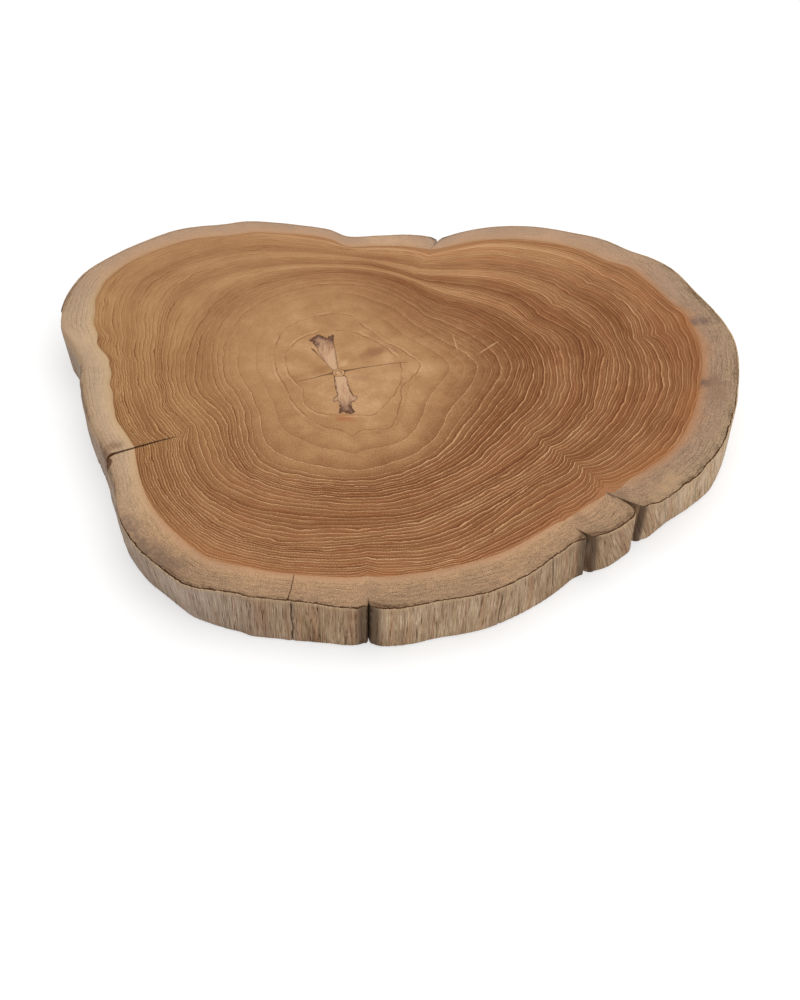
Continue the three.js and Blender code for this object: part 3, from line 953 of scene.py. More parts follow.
# Skin strips: one along each lobe, closed at both ends
def skinMesh(name, lobe):
    start, end = lobe["skin"]
    length = rimSpan(start, end)[1][-1]
    bearing = spacedBearings(start, end, int(length / edge["spacing"]))
    share, rim, thick = skinShare(bearing), rimAt(bearing), skinAt(bearing)
    thick[1:-1] = np.maximum(thick[1:-1], edge["thinnest"])
    front = frontness(bearing)
    ragged = rimNoise(bearing, edge["unevenTop"]) * (edge["topBehind"] + (1 - edge["topBehind"]) * front)
    ragged = edge["topDrop"] * np.clip(ragged + edge["topMore"] * front, 0, 1)
    high = thickness - edge["drop"] * front - ragged - edge["topGap"]
    low = np.full(len(bearing), edge["lift"])
    count = edge["rowCount"]
    none = np.zeros(len(bearing))
    rows, groove, seam, crust = [], [], [], []
    for step in range(count + 1):
        z = low + (high - low) * step / count
        relief = wallRelief(onBoard(bearing, rim, z), bearing)
        relief = relief * (1 - (1 - front) * smoothStep(z, *edge["calmHeights"]) * edge["calm"])
        worn = smoothStep(z, high - edge["easeTop"], high) ** 2
        worn = worn + edge["easeFootShare"] * smoothStep(-z, -low - edge["easeFoot"], -low) ** 2
        back = np.minimum((relief + edge["ease"] * worn) * share, thick * edge["deepest"])
        rows.append(onBoard(bearing, rim - back, z))
        # how deep the relief lies, which the finish darkens as painted shade
        groove.append(relief * (edge["grooveBehind"] + (1 - edge["grooveBehind"]) * front))
        seam.append(none)
        # the pale top edge of the skin: partly its own colour, partly a painted highlight
        crust.append(smoothStep(z, high - edge["crust"] - edge["crustAndHighlightBehind"] * (1 - front), high))
    # the inner face: along the front it carries the painted shade of the seam gap
    for step in range(count + 1):
        z = high + (low - high) * step / count
        rows.append(onBoard(bearing, rim - thick, z))
        groove.append(none)
        seam.append(front)
        crust.append(none + (step == 0))
    for row in (rows, groove, seam, crust):
        row.append(row[0])
    places = np.stack(rows, axis=1)
    turned = np.repeat(bearing[:, None], places.shape[1], axis=1)
    # painted shade where an end lies in a fold
    run = np.linspace(0, length, len(bearing))
    worn = [edge["farOff"] * (taper > edge["wornTaper"]) for taper in lobe["taper"]]
    fold = 1 - smoothStep(np.minimum(run + worn[0], length - run + worn[1]), *edge["foldReach"])
    marks = {
        "groove": np.stack(groove, axis=1),
        "seam": np.stack(seam, axis=1),
        "crust": np.stack(crust, axis=1),
        "strand": strandAt(turned, places[:, :, 2]),
        "fold": np.repeat(fold[:, None], places.shape[1], axis=1),
    }
    piece = finishPiece(laidGrid(places, marks), name)
    sharpenEdges(piece, edge["sharp"])
    return piece


skins = {}
for lobeName, lobe in lobes.items():
    skins[lobeName] = skinMesh("skin_" + lobeName, lobe)
    print("skin made:", lobeName, len(skins[lobeName].data.polygons), "faces")
for cutter in cutters.values():
    bpy.data.meshes.remove(cutter.data)


# Finishes: a socket wrapped so that shader sums read as sums
class Shade:
    def __init__(self, finish, socket):
        self.finish = finish
        self.socket = socket

    def sum(self, operation, *values):
        return self.finish.node("Math", {"operation": operation}, dict(enumerate(values)))

    def __add__(self, other):
        return self.sum("ADD", self, other)

    def __sub__(self, other):
        return self.sum("SUBTRACT", self, other)

    def __rsub__(self, other):
        return self.sum("SUBTRACT", other, self)

    def __mul__(self, other):
        return self.sum("MULTIPLY", self, other)

    def __truediv__(self, other):
        return self.sum("DIVIDE", self, other)

    def __abs__(self):
        return self.sum("ABSOLUTE", self)

    def floor(self):
        return self.sum("FLOOR", self)

    def most(self, other):
        return self.sum("MAXIMUM", self, other)

    __radd__ = __add__
    __rmul__ = __mul__


class Finish:
    def __init__(self, name):
        self.material = bpy.data.materials.new(name)
        self.material.use_nodes = True
        self.tree = self.material.node_tree
        self.tree.nodes.clear()

    # any node: its type, its settings, its sockets by name or number, and which output is used
    def node(self, kind, settings=None, sockets=None, output=0):
        made = self.tree.nodes.new("ShaderNode" + kind)
        for key, value in (settings or {}).items():
            if key == "stops":
                ramp = made.color_ramp
                while len(ramp.elements) < len(value):
                    ramp.elements.new(1)
                for element, (position, colour) in zip(ramp.elements, value):
                    element.position = position
                    element.color = colour
            else:
                setattr(made, key, value)
        for key, value in (sockets or {}).items():
            if isinstance(value, Shade):
                self.tree.links.new(value.socket, made.inputs[key])
            else:
                made.inputs[key].default_value = value
        return Shade(self, made.outputs[output]) if made.outputs else None

    def mark(self, name):
        return self.node("Attribute", {"attribute_name": name}, {}, "Fac")

    def place(self):
        return self.node("TexCoord", {}, {}, "Object")

    # flat place measured from the pith
    def fromPith(self):
        centre = (-pithX * toMetres, -pithY * toMetres, 0)
        return self.node("Mapping", {}, {"Vector": self.place(), "Location": centre, "Scale": (1, 1, 0)})

    def part(self, vector, axis):
        return self.node("SeparateXYZ", {}, {0: vector}, axis)

    def combine(self, x, y, z):
        return self.node("CombineXYZ", {}, {0: x, 1: y, 2: z})

    def noise(self, vector, scale, detail=2, rough=0.5):
        sockets = {"Vector": vector, "Scale": scale, "Detail": detail, "Roughness": rough}
        return self.node("TexNoise", {}, sockets, "Fac")

    # noise above and below nothing
    def swing(self, vector, scale, detail=2, rough=0.5):
        return self.noise(vector, scale, detail, rough) - 0.5

    # a place for noise that is long round the pith and short from ring to ring
    def ringwise(self, way, scale, growth):
        return self.vector("ADD", self.vector("SCALE", way, scale=scale), self.combine(0, 0, growth))

    # a soft oval at a place in millimetres from the pith: 1 in its middle, 0 outside it
    def spot(self, x, y, long, wide, turn):
        sockets = {
            "Vector": self.fromPith(),
            "Location": (x * toMetres, y * toMetres, 0),
            "Rotation": (0, 0, math.radians(turn)),
            "Scale": (long * toMetres, wide * toMetres, 1),
        }
        inside = self.node("Mapping", {"vector_type": "TEXTURE"}, sockets)
        ragged = self.swing(self.place(), 160, 3) * 1.4
        return self.fade(self.vector("LENGTH", inside, output="Value") + ragged, 0.2, 1, 1, 0)

    def fade(self, value, low, high, start=0, end=1):
        sockets = {"Value": value, "From Min": low, "From Max": high, "To Min": start, "To Max": end}
        return self.node("MapRange", {"interpolation_type": "SMOOTHSTEP"}, sockets)

    # 1 between two soft ends
    def between(self, value, grows, fades):
        return self.fade(value, *grows) * (1 - self.fade(value, *fades))

    def ramp(self, value, stops):
        return self.node("ValToRGB", {"stops": stops}, {"Fac": value})

    def mix(self, first, second, share, blend="MIX"):
        settings = {"data_type": "RGBA", "blend_type": blend}
        return self.node("Mix", settings, {0: share, 6: first, 7: second}, 2)

    def vector(self, operation, first, second=None, scale=None, output=0):
        sockets = {0: first}
        if second is not None:
            sockets[1] = second
        if scale is not None:
            sockets["Scale"] = scale
        return self.node("VectorMath", {"operation": operation}, sockets, output)

    def shaded(self, colour, level):
        grey = self.node("CombineColor", {}, {0: level, 1: level, 2: level})
        return self.mix(colour, grey, 1.0, "MULTIPLY")

    def surface(self, colour, rough, height, distance, gloss):
        bump = self.node("Bump", {}, {"Strength": 1.0, "Distance": distance, "Height": height})
        sockets = {"Base Color": colour, "Roughness": rough, "Normal": bump, "Specular IOR Level": gloss}
        self.node("OutputMaterial", {}, {"Surface": self.node("BsdfPrincipled", {}, sockets)})
        return self.material


# a colour from its 8-bit numbers
def paint(red, green, blue):
    linear = []
    for part in (red, green, blue):
        share = part / 255
        linear.append(share / 12.92 if share <= 0.04045 else ((share + 0.055) / 1.055) ** 2.4)
    return (*linear, 1)


# stops of a ramp, as rows of place and colour or place and level
def paintStops(*rows):
    return [(at, paint(*colour)) for at, *colour in rows]


def levelStops(*rows):
    return [(at, (level, level, level, 1)) for at, level in rows]


heartFinish = {
    "levels": paintStops(
        (0.0, 98, 54, 24), (0.25, 122, 76, 40), (0.5, 147, 102, 64), (0.75, 176, 132, 89),
        (1.0, 204, 164, 122)),
    # broad bands of darker and lighter years, by share of the rings
    "bands": levelStops(
        (0.0, 0.5), (0.1, 0.5), (0.15, 0.45), (0.2, 0.43), (0.25, 0.4), (0.34, 0.39), (0.385, 0.46),
        (0.43, 0.55), (0.46, 0.54), (0.5, 0.43), (0.56, 0.44), (0.61, 0.54), (0.68, 0.56), (0.73, 0.41),
        (0.76, 0.42), (0.79, 0.52), (0.9, 0.53), (1.0, 0.55)),
    # where each side begins and ends, by the way out from the pith
    "right": (-0.8, 0.7),
    "left": (-0.95, -0.4),
    "back": (0.1, 0.95),
    "front": (-0.9, 0.2),
    # ring lines and the fainter ones between them: shift, share everywhere, more at the right
    "series": [(0, 1, 0), (0.47, 0.06, 0.45)],
    "russet": paint(250, 222, 212),
    "golden": paint(250, 255, 232),
    "orange": paint(154, 96, 54),
    "border": paint(168, 121, 84),
    "line": paint(114, 68, 36),
    "pale": paint(204, 164, 122),
    # painted shade inside the cracks, and their stain beside them on top
    "crack": paint(66, 41, 25),
    # thin dark lines round the pith: how dark, and how pale just outside
    "pithLines": {"ovalRing": (0.55, 0.45), "wavyRing": (0.65, 0.4)},
    # marks near the pith: x, y, half length, half width, turn, colour, share
    "spots": [
        (21, 19, 12, 5.5, 30, paint(138, 94, 64), 0.65),
        (30, 22, 10, 3, -35, paint(142, 98, 66), 0.55),
        (4.5, -39.6, 11, 4, 0, paint(164, 96, 54), 0.6),
        (2.8, 8, 6, 4, 50, paint(206, 166, 120), 0.6),
        (-10, 2, 10, 5, 25, paint(146, 102, 66), 0.5),
        (12, -5, 12, 5, 12, paint(150, 106, 72), 0.4),
        (86, 21.5, 13, 0.7, 44, paint(214, 176, 132), 0.6),
        (68, 27, 14, 0.6, 100, paint(214, 176, 132), 0.4),
    ],
    "bump": 0.00012,
    "gloss": 0.12,
}


def heartwoodFinish():
    tones = heartFinish
    wood = Finish("heartwood_end_grain")
    place = wood.place()
    growth, pace = wood.mark("growth"), wood.mark("pace")
    way = wood.vector("NORMALIZE", wood.fromPith())
    wayX, wayY = wood.part(way, "X"), wood.part(way, "Y")
    right, left = wood.fade(wayX, *tones["right"]), 1 - wood.fade(wayX, *tones["left"])
    back, front = wood.fade(wayY, *tones["back"]), 1 - wood.fade(wayY, *tones["front"])
    outward = wood.fade(growth, 3, 13)
    centre = 1 - wood.fade(growth, 3, 7.5)
    warm = right.most(front) * (1 - left * 0.85)
    calm = back.most(left)
    short, longer = wood.ringwise(way, 9.0, growth), wood.ringwise(way, 3.5, growth * 0.8)

    # each ring: a thin pale pored line at its start, then darker to its end
    waver = wood.swing(place, 60) * 4 + wood.swing(place, 320) * (0.5 + left * 0.6)
    ring = growth + wood.noise(wood.combine(growth, 0, 0), 0.8, 1) * 0.9 + waver * pace
    paleLine, thinLine, darker = 0, 0, 0
    for offset, share, rightShare in tones["series"]:
        share = right * right * (1 - front) * rightShare + share
        number = (ring + offset).floor()
        phase = ring + offset - number
        early = wood.node("TexWhiteNoise", {"noise_dimensions": "1D"}, {"W": number + offset * 80}, "Value")
        late = 1.1 - early * 0.6
        pale = wood.fade(abs(phase / pace - 0.34), 0.06, 0.4, 1, 0) * (0.45 + early * 0.55)
        paleLine = pale * share + paleLine
        thinLine = wood.fade((1 - phase) / pace, 0.08, 0.55, 1, 0) * late * share + thinLine
        darker = wood.fade(phase, 0.15, 1.0) * late * share + darker
    # the lines are broken, pored, and come and go at the left and back
    pores = wood.noise(place, 1500, 2, 0.6)
    broken = wood.fade(wood.noise(short, 2.4, 3, 0.6), 0.3, 0.6, 0.4, 1)
    comesAndGoes = wood.fade(wood.noise(longer, 1.0), 0.42, 0.62)
    blank = (left * wood.fade(wayY, 0.15, 0.6)).most(back * (0.8 - right * 0.6)) * (1 - comesAndGoes)
    shown = (1 - centre * 0.75) * wood.fade(growth, 2.6, 3.8) * (1 - blank * 0.8)
    poredShare = (front * 0.5).most(1 - wood.fade(growth, 6, 10)) * 0.9
    paleLine = paleLine * broken * (1 - wood.fade(pores, 0.42, 0.6, 1, 0) * poredShare)
    paleLine = paleLine * (0.22 + right * right * 0.6 + front * 0.68) * (1 - back * 0.55) * shown
    thinLine = thinLine * (0.45 + comesAndGoes * 0.55) * (0.46 - right * 0.2 + front * 0.12)
    darkLine = darker * (0.07 + right * 0.15 + front * 0.06) + thinLine
    darkLine = darkLine * (1 - back * (0.5 - right * 0.4)) * shown

    # how light the wood is from part to part
    level = 0.63 + centre * 0.13 - front * wood.between(growth, (0.5, 4), (6, 11)) * 0.1
    level = level - outward * (right * (0.17 - back * 0.12) + front * 0.06 - back * 0.04)
    level = level + front * (right * 0.07 - left * wood.fade(growth, 22, 36) * 0.15)
    level = level + (1 - right) * wood.between(growth, (3.5, 5.5), (8, 11)) * 0.08
    rightBack = wood.fade(growth, 14, 26) * 0.1 - wood.between(growth, (1, 2.5), (4.5, 7)) * 0.12
    level = level + right * back * rightBack
    # then bands of years, blotches, streaks along the rings, and pores
    bands = wood.ramp(growth / heartRing, tones["bands"]) - 0.5
    level = level + bands * (0.9 - (back * (1 - right * 0.8)).most(left) * 0.28)
    years = wood.swing(wood.combine(growth, 0.5, 0.5), 0.5, 2, 0.6)
    level = level + years * outward * back * (0.2 + right * 0.65)
    blotches = wood.swing(place, 24, 3, 0.55)
    level = level + blotches * 0.3 + wood.swing(place, 85, 4, 0.65) * centre * 0.5
    streaks = wood.swing(short, 1.1, 4, 0.6) * (1 - centre * 0.85) * (1 - calm * 0.45) * (1 - front * 0.3)
    threads = wood.swing(wood.ringwise(way, 20.0, growth * 4.5), 1.0, 2, 0.6)
    threads = threads * (1 - centre) * (1 - calm * 0.68) * (1 - front * 0.5)
    level = level + streaks * 0.42 + threads * 0.45
    level = level + (pores - 0.5) * (0.62 + front * 0.38) * (1 - centre * 0.3)
    colour = wood.ramp(level + paleLine * 0.64 - darkLine, tones["levels"])

    russet = wood.fade(wood.noise(longer, 0.9), 0.4, 0.64, 0.15, 0.5) * outward * warm
    colour = wood.mix(colour, tones["russet"], russet, "MULTIPLY")
    colour = wood.mix(colour, tones["golden"], left * (1 - back) * outward * 0.35, "MULTIPLY")
    # the last years before the sapwood are redder at the front and right, and end in a dark line at the left
    redder = wood.fade(growth + blotches * 5, 34.5, 41.5) * warm * (1 - back)
    redder = redder * wood.fade(wood.noise(place, 50), 0.38, 0.62, 0.15, 0.6)
    colour = wood.mix(colour, tones["orange"], redder)
    toBorder = (heartRing - growth) / pace
    merging = wood.fade(toBorder + blotches * 6, -0.5, 1.8, 0.5, 0)
    colour = wood.mix(colour, tones["border"], merging * warm * (1 - front * 0.45))
    lastYear = wood.fade(toBorder + blotches * 2, 0.3, 1.6, 1, 0)
    colour = wood.mix(colour, tones["line"], lastYear * left * (1 - back) * 0.3)
    for x, y, long, wide, turn, tint, share in tones["spots"]:
        colour = wood.mix(colour, tint, wood.spot(x, y, long, wide, turn) * share)
    faint = wood.fade(wood.noise(place, 110, 3), 0.36, 0.6, 0.15, 1)
    inPlaces = wood.fade(wood.noise(place, 36, 1), 0.4, 0.56)
    for ringName, (dark, light) in tones["pithLines"].items():
        gap = wood.mark(ringName) + wood.swing(place, 160, 4, 0.6) * 3.6
        colour = wood.mix(colour, tones["line"], wood.fade(abs(gap), 0.05, 0.7, dark, 0) * faint)
        paler = wood.fade(abs(gap - 1.3), 0.2, 0.9, light, 0) * faint * inPlaces
        colour = wood.mix(colour, tones["pale"], paler)
    # painted shade on the walls inside the cracks, and the cracks' stain beside them on top
    colour = wood.mix(colour, tones["crack"], wood.fade(wood.mark("crack"), 0.35, 1.0))
    rough = 0.55 + (pores - 0.5) * 0.25 - paleLine * 0.08
    height = pores * 0.6 - paleLine * 0.2 + darkLine * 0.2
    return wood.surface(colour, rough, height, tones["bump"], tones["gloss"])


sapFinish = {
    # from the heartwood out to the rim
    "front": paintStops(
        (0.0, 177, 131, 94), (0.12, 183, 143, 109), (0.28, 172, 136, 102), (0.5, 164, 130, 99),
        (0.8, 160, 128, 98), (0.94, 150, 119, 90), (1.0, 124, 95, 70)),
    "left": paintStops(
        (0.0, 186, 150, 110), (0.12, 197, 165, 128), (0.3, 194, 163, 130), (0.5, 185, 156, 126),
        (0.8, 182, 152, 122), (0.95, 178, 147, 116), (1.0, 152, 124, 98)),
    "right": paintStops(
        (0.0, 166, 118, 82), (0.12, 166, 126, 96), (0.28, 156, 126, 101), (0.6, 154, 126, 101),
        (0.8, 159, 132, 104), (0.93, 152, 126, 99), (1.0, 126, 100, 75)),
    "back": paintStops(
        (0.0, 174, 135, 99), (0.12, 182, 143, 109), (0.28, 183, 145, 115), (0.5, 178, 144, 115),
        (0.8, 175, 143, 117), (0.95, 172, 141, 117), (1.0, 155, 127, 105)),
    # the dark line inside the seam, and painted shade in the folds
    "dark": paint(62, 44, 31),
    # painted shade inside the cracks, and their stain beside them on top
    "crack": paint(108, 72, 48),
    # painted shade down in the seam gap
    "seam": paint(100, 68, 45),
    "greyed": paint(232, 236, 240),
    "innerLine": 3.4,  # inside the rim
    # smudges: x, y from the pith, half length, half width, turn, colour, share
    "spots": [
        (211, 47, 17, 6, 8, paint(120, 94, 82), 0.9),
        (211, -8.5, 16, 7, 0, paint(114, 86, 74), 0.9),
        (217, -16, 22, 10, 85, paint(138, 108, 86), 0.8),
        (184, -94, 22, 9, 60, paint(184, 150, 114), 0.6),
        (198, 80, 28, 10, 112, paint(174, 142, 116), 0.5),
        (27, 127, 26, 8, 168, paint(204, 167, 132), 0.5),
        (-98, -150, 36, 12, 326, paint(122, 98, 80), 0.95),
        (-118, -124, 26, 10, 320, paint(126, 101, 84), 0.85),
        (-125, -64, 11, 4.5, 28, paint(122, 88, 62), 0.6),
        (-131, -71, 5, 5, 0, paint(92, 60, 42), 0.6),
        (150.5, -103, 7, 1.6, 137, paint(70, 46, 36), 0.75),
        (157, -104, 7, 5, 137, paint(112, 84, 66), 0.5),
        (134, -122, 8, 5, 125, paint(116, 90, 74), 0.45),
        (-152, 3, 6, 2, 0, paint(88, 64, 52), 0.6),
        (19, -176, 9, 7, 0, paint(148, 118, 92), 0.4),
    ],
    "bump": 0.00025,
    "gloss": 0.12,
}
# bare fibres of the wall, dark gaps to pale strands
fibreFinish = {
    "levels": paintStops(
        (0.0, 76, 54, 39), (0.22, 116, 89, 66), (0.45, 148, 120, 93), (0.7, 174, 147, 118),
        (1.0, 208, 184, 154)),
    # paler and darker stretches of the wall, by share of the way from the left to the right
    "stretches": levelStops(
        (0.1, 0.6), (0.21, 0.72), (0.3, 0.58), (0.4, 0.4), (0.48, 0.5), (0.57, 0.58), (0.7, 0.5),
        (0.81, 0.45), (0.9, 0.71)),
    "wallLength": 0.4,
    # dark gaps, pale strands and dark streaks: share of the height, seed, scale, low, full, change
    "marks": [
        (0.07, 5, 1.3, 0.58, 0.66, -0.36),
        (0.07, 15, 1.0, 0.57, 0.66, 0.2),
        (0.12, 9, 0.45, 0.66, 0.73, -0.4),
    ],
    # russet and olive tints: the same, then the colour
    "tints": [
        (0.05, 7, 0.14, 0.48, 0.64, 0.4, paint(248, 214, 190)),
        (0.05, 17, 0.12, 0.5, 0.66, 0.3, paint(240, 240, 214)),
    ],
    "coolerAtLeft": paint(232, 236, 255),
}


def fibreTone(wood, strand, place):
    tones = fibreFinish
    high, along = wood.part(place, "Z") / toMetres, wood.part(place, "X")

    def upright(stretch, seed, scale, detail=2):
        return wood.noise(wood.combine(strand, high * stretch, seed), scale, detail, 0.65)

    fine, strands, patch = upright(0.035, 0, 1.9, 3), upright(0.02, 1, 0.6), upright(0.4, 3, 0.09)
    level = 0.63 + (fine - 0.5) * 1.6 + (strands - 0.5) * 0.5 + (patch - 0.5) * 0.5
    for stretch, seed, scale, low, full, change in tones["marks"]:
        level = level + wood.fade(upright(stretch, seed, scale), low, full, 0, change)
    level = level + wood.ramp(along / tones["wallLength"] + 0.5, tones["stretches"]) - 0.5
    colour = wood.ramp(level, tones["levels"])
    for stretch, seed, scale, low, full, share, tint in tones["tints"]:
        tinted = wood.fade(upright(stretch, seed, scale), low, full, 0, share)
        colour = wood.mix(colour, tint, tinted, "MULTIPLY")
    # bluer and a little darker towards the left end of the wall
    colour = wood.mix(colour, tones["coolerAtLeft"], wood.fade(along, -0.11, -0.03, 0.9, 0), "MULTIPLY")
    return colour, fine + strands * 0.6


def sapwoodFinish():
    tones = sapFinish
    wood = Finish("sapwood_end_grain")
    place = wood.place()
    growth, side, depth = wood.mark("growth"), wood.mark("side"), wood.mark("depth")
    across = (growth - heartRing) / (rimRing - heartRing)
    way = wood.vector("NORMALIZE", wood.fromPith())
    wayX, wayY = wood.part(way, "X"), wood.part(way, "Y")
    left = 1 - wood.fade(wayX, -0.95, -0.5)
    right = wood.fade(wayX, 0.35, 0.85) * wood.fade(wayY, -0.75, -0.3)
    back = wood.fade(wayY, 0.3, 0.7)
    patches = wood.noise(place, 40, 4, 0.6)
    grit = wood.noise(place, 330, 3, 0.65)
    speckle = wood.noise(place, 1900, 2, 0.7)
    shift = across + (patches - 0.5) * wood.fade(across, 0, 0.4) * 0.8
    colour = wood.ramp(shift, tones["front"])
    for name, share in (("left", left), ("right", right), ("back", back)):
        colour = wood.mix(colour, wood.ramp(shift, tones[name]), share)
    greyed = wood.fade(wood.noise(place, 22), 0.45, 0.62, 0, 0.35)
    colour = wood.mix(colour, tones["greyed"], greyed, "MULTIPLY")
    # thin layers along the rim, clearest at the right
    streaks = wood.swing(wood.ringwise(way, 26.0, growth * 2.4), 1.0, 3, 0.65)
    ring = growth * 0.95 + wood.swing(place, 70) * 1.2 + wood.swing(place, 300) * 0.5
    phase = ring - ring.floor()
    inBody = wood.fade(across, 0.1, 0.3)
    line = wood.fade(phase, 0.72, 0.96) - wood.fade(phase, 0.04, 0.2, 0.6, 0)
    line = line * wood.fade(patches, 0.38, 0.58) * inBody
    cells = wood.node("TexVoronoi", {"feature": "DISTANCE_TO_EDGE"}, {"Vector": place, "Scale": 300.0})
    crackle = wood.fade(cells, 0, 0.08, 1, 0) * wood.fade(patches, 0.45, 0.6) * left
    texture = streaks + (speckle - 0.5) * 3.2 + (grit - 0.5) * 0.3
    texture = texture * (0.4 + inBody * 0.5) * (1 - left.most(back) * 0.65)
    colour = wood.shaded(colour, 1.0 - line * 0.3 + texture - crackle * 0.16)
    for x, y, long, wide, turn, tint, share in tones["spots"]:
        smudge = wood.spot(x, y, long, wide, turn) * wood.fade(grit, 0.3, 0.62, 0.4, 1)
        colour = wood.mix(colour, tint, smudge * share)
    # a dark line runs along the front, just inside the seam
    inner = wood.fade(abs(depth - tones["innerLine"] + (grit - 0.5) * 5), 0.15, 0.7, 1, 0)
    inner = inner * wood.fade(patches, 0.42, 0.58) * (1 - left) * (1 - back)
    colour = wood.mix(colour, tones["dark"], inner * 0.4)
    wall, fibres = fibreTone(wood, wood.mark("strand"), place)
    colour = wood.mix(colour, wall, side)
    # painted shade on the wall down in the seam gap behind the skin
    colour = wood.mix(colour, tones["seam"], wood.mark("seam") * wood.fade(grit, 0.25, 0.6, 0.7, 1))
    # painted shade in the folds, on the wall and at the rim beside them
    fold = wood.mark("fold") * wood.fade(grit, 0.3, 0.6, 0.6, 1)
    fold = fold * (wood.fade(depth, 0, 3, 0.5, 0) * (1 - side) + side * 0.9)
    colour = wood.mix(colour, tones["dark"], fold)
    # painted shade on the walls inside the cracks, and the cracks' stain beside them on top
    colour = wood.mix(colour, tones["crack"], wood.fade(wood.mark("crack"), 0.4, 1.0))
    height = (speckle + grit) * (1 - side) * 0.4 + fibres * side * 1.2
    return wood.surface(colour, 0.66 + (speckle - 0.5) * 0.2, height, tones["bump"], tones["gloss"])


skinFinish = {
    # painted shade in the grooves and in the folds
    "dark": paint(60, 42, 29),
    # painted shade down in the seam gap
    "seam": paint(104, 74, 50),
    # the pale top edge: partly the skin's own colour, partly a painted highlight
    "crust": paint(188, 158, 124),
    "rough": 0.76,
    "bump": 0.0003,
    "gloss": 0.2,
}


def edgeSkinFinish():
    tones = skinFinish
    wood = Finish("fibrous_edge")
    colour, fibres = fibreTone(wood, wood.mark("strand"), wood.place())
    # painted shade in the grooves where the fibres stand back
    colour = wood.mix(colour, tones["dark"], wood.fade(wood.mark("groove"), 0.75, 1.7, 0, 0.85))
    # the pale top edge: partly the skin's own colour, partly a painted highlight
    colour = wood.mix(colour, tones["crust"], wood.mark("crust") * wood.fade(fibres, 0.5, 0.95, 0.3, 0.9))
    # painted shade on the skin's inner face, in the seam gap
    colour = wood.mix(colour, tones["seam"], wood.fade(wood.mark("seam") + (fibres - 0.8) * 0.4, 0.7, 1.0))
    # painted shade on the skin's ends in the folds
    colour = wood.mix(colour, tones["dark"], wood.mark("fold") * wood.fade(fibres, 0.6, 1.0, 0.5, 0.9))
    return wood.surface(colour, tones["rough"], fibres, tones["bump"], tones["gloss"])


stubFinish = {
    "pale": paint(197, 158, 124),
    "dusk": paint(163, 119, 88),
    "rim": paint(86, 52, 38),
    "bump": 0.0003,
    "gloss": 0.2,
}


def branchStubFinish():
    tones = stubFinish
    wood = Finish("dead_knot_wood")
    place = wood.place()
    border, tipward = wood.mark("border"), wood.mark("tipward")
    grain = wood.noise(place, 480, 4, 0.65)
    lengthwise = wood.noise(wood.vector("MULTIPLY", place, (1, 0.2, 1)), 700, 3, 0.6)
    colour = wood.mix(tones["pale"], tones["dusk"], wood.fade(lengthwise + (tipward - 0.6) * 0.3, 0.4, 0.75))
    uneven = wood.fade(wood.noise(place, 260), 0.36, 0.6, 0.3, 1)
    outline = wood.fade(border + (grain - 0.5) * 2, 0.3, 1.3, 1, 0) * wood.mark("edging") * uneven
    frayed = wood.fade(border + (grain - 0.5) * 6, 0.8, 3.6, 1, 0) * wood.fade(tipward, 0.7, 0.88)
    colour = wood.mix(colour, tones["rim"], wood.fade(tipward, 0.5, 1.0, 0, 0.3))
    colour = wood.mix(colour, tones["rim"], outline.most(frayed) * 0.9)
    return wood.surface(colour, 0.65 + (grain - 0.5) * 0.2, grain, tones["bump"], tones["gloss"])


softPith = {
    "pale": paint(206, 164, 120),
    "dusk": paint(164, 118, 78),
    "line": paint(112, 74, 46),
    "ring": 2.1,  # radius of the dark ring
    "rim": (2.9, 3.5),
    "bump": 0.0003,
    "gloss": 0.2,
}


def pithFinish():
    tones = softPith
    wood = Finish("soft_pith")
    grain = wood.noise(wood.place(), 900, 3, 0.65)
    out = wood.vector("LENGTH", wood.fromPith(), output="Value") / toMetres + (grain - 0.5) * 0.7
    lines = wood.fade(abs(out - tones["ring"]), 0.05, 0.4, 1, 0).most(wood.fade(out, *tones["rim"]))
    colour = wood.mix(tones["pale"], tones["dusk"], wood.fade(grain, 0.35, 0.75))
    colour = wood.mix(colour, tones["line"], lines * 0.75)
    return wood.surface(colour, 0.7 + (grain - 0.5) * 0.2, grain, tones["bump"], tones["gloss"])


finishes = {
    "heartwood": heartwoodFinish(),
    "sapwood": sapwoodFinish(),
    "pith": pithFinish(),
    "branch_stub": branchStubFinish(),
    "edge_skin": edgeSkinFinish(),
}


def fit(piece, node, slot):
    piece.data.materials.clear()
    piece.data.materials.append(finishes[slot])
    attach(piece, "root")
    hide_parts(node)


fit(heartwood, "heartwood", "heartwood")
fit(sapwood, "sapwood_rim", "sapwood")
fit(pith, "pith", "pith")
for side, stub in stubs.items():
    fit(stub, stubShape[side]["node"], "branch_stub")
for lobeName, skin in skins.items():
    fit(skin, "edge_skin_" + lobeName, "edge_skin")
print("pieces fitted to the frame")

# Studio: a pale floor, a soft even light, and the camera of the photograph. Lengths are in metres.
studio = {
    "floorSize": 6.0,
    "floorDrop": 0.0002,
    "floorColour": paint(235, 235, 235),
    "seenColour": (0.5, 0.5, 0.5, 1),  # the floor as the camera sees it: shadow and glow make white
    "seenGlow": 0.56,
    "white": (1, 1, 1, 1),
    "sky": 0.62,
    "lamps": {
        # place, size, watts
        "overhead": ((0.25, 0.35, 1.7), 1.8, 15),
        "front": ((0.9, -1.2, 1.1), 1.4, 8),
    },
    "camera": (0.00206, -1.1273, 1.0040),
    "cameraTilt": 47,
    "lens": 93.6,
    "sensor": 36,
}


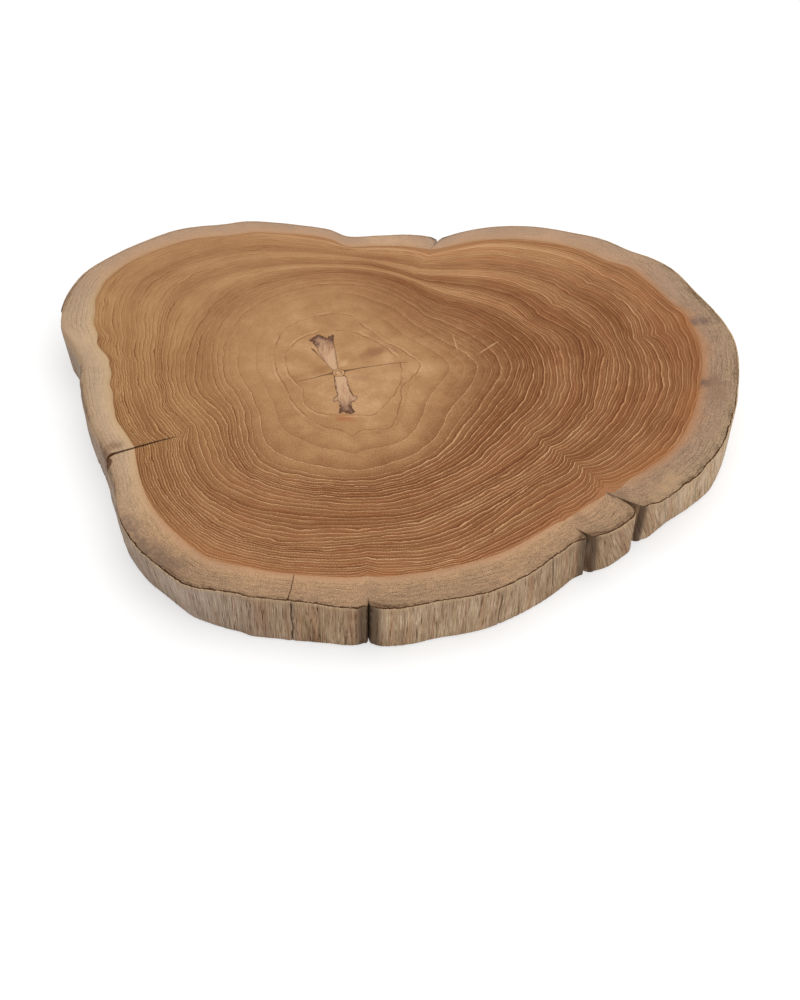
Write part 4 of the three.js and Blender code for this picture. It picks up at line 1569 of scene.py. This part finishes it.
def makeFloor():
    bm = bmesh.new()
    bmesh.ops.create_grid(bm, x_segments=8, y_segments=8, size=studio["floorSize"] / 2)
    bmesh.ops.translate(bm, vec=Vector((0, 0, -studio["floorDrop"])), verts=bm.verts)
    mesh = bpy.data.meshes.new("floor")
    bm.to_mesh(mesh)
    bm.free()
    floor = bpy.data.objects.new("floor", mesh)
    bpy.context.scene.collection.objects.link(floor)
    ground = Finish("pale_floor")
    glossy = ground.node("LightPath", {}, {}, "Is Glossy Ray")
    sees = ground.node("LightPath", {}, {}, "Is Camera Ray").most(glossy)
    lit = ground.node("BsdfDiffuse", {}, {"Color": studio["floorColour"]})
    shadow = ground.node("BsdfDiffuse", {}, {"Color": studio["seenColour"]})
    glow = ground.node("Emission", {}, {"Color": studio["white"], "Strength": studio["seenGlow"]})
    seen = ground.node("AddShader", {}, {0: shadow, 1: glow})
    ground.node("OutputMaterial", {}, {"Surface": ground.node("MixShader", {}, {0: sees, 1: lit, 2: seen})})
    mesh.materials.append(ground.material)


def makeLight():
    world = bpy.data.worlds.new("studio_sky")
    bpy.context.scene.world = world
    world.use_nodes = True
    sky = world.node_tree.nodes["Background"]
    sky.inputs["Color"].default_value = studio["white"]
    sky.inputs["Strength"].default_value = studio["sky"]
    for name, (location, size, power) in studio["lamps"].items():
        lamp = bpy.data.lights.new(name, "AREA")
        lamp.shape = "SQUARE"
        lamp.size = size
        lamp.energy = power
        holder = bpy.data.objects.new(name, lamp)
        holder.location = location
        holder.rotation_euler = (-Vector(location)).to_track_quat("-Z", "Y").to_euler()
        bpy.context.scene.collection.objects.link(holder)


def makeCamera():
    camera = bpy.data.cameras.new("photo_camera")
    camera.sensor_fit = "VERTICAL"
    camera.sensor_height = studio["sensor"]
    camera.lens = studio["lens"]
    eye = bpy.data.objects.new("photo_camera", camera)
    eye.location = studio["camera"]
    eye.rotation_euler = (math.radians(studio["cameraTilt"]), 0, 0)
    bpy.context.scene.collection.objects.link(eye)
    bpy.context.scene.camera = eye
    bpy.context.scene.view_settings.view_transform = "Standard"


makeFloor()
makeLight()
makeCamera()
print("studio set")
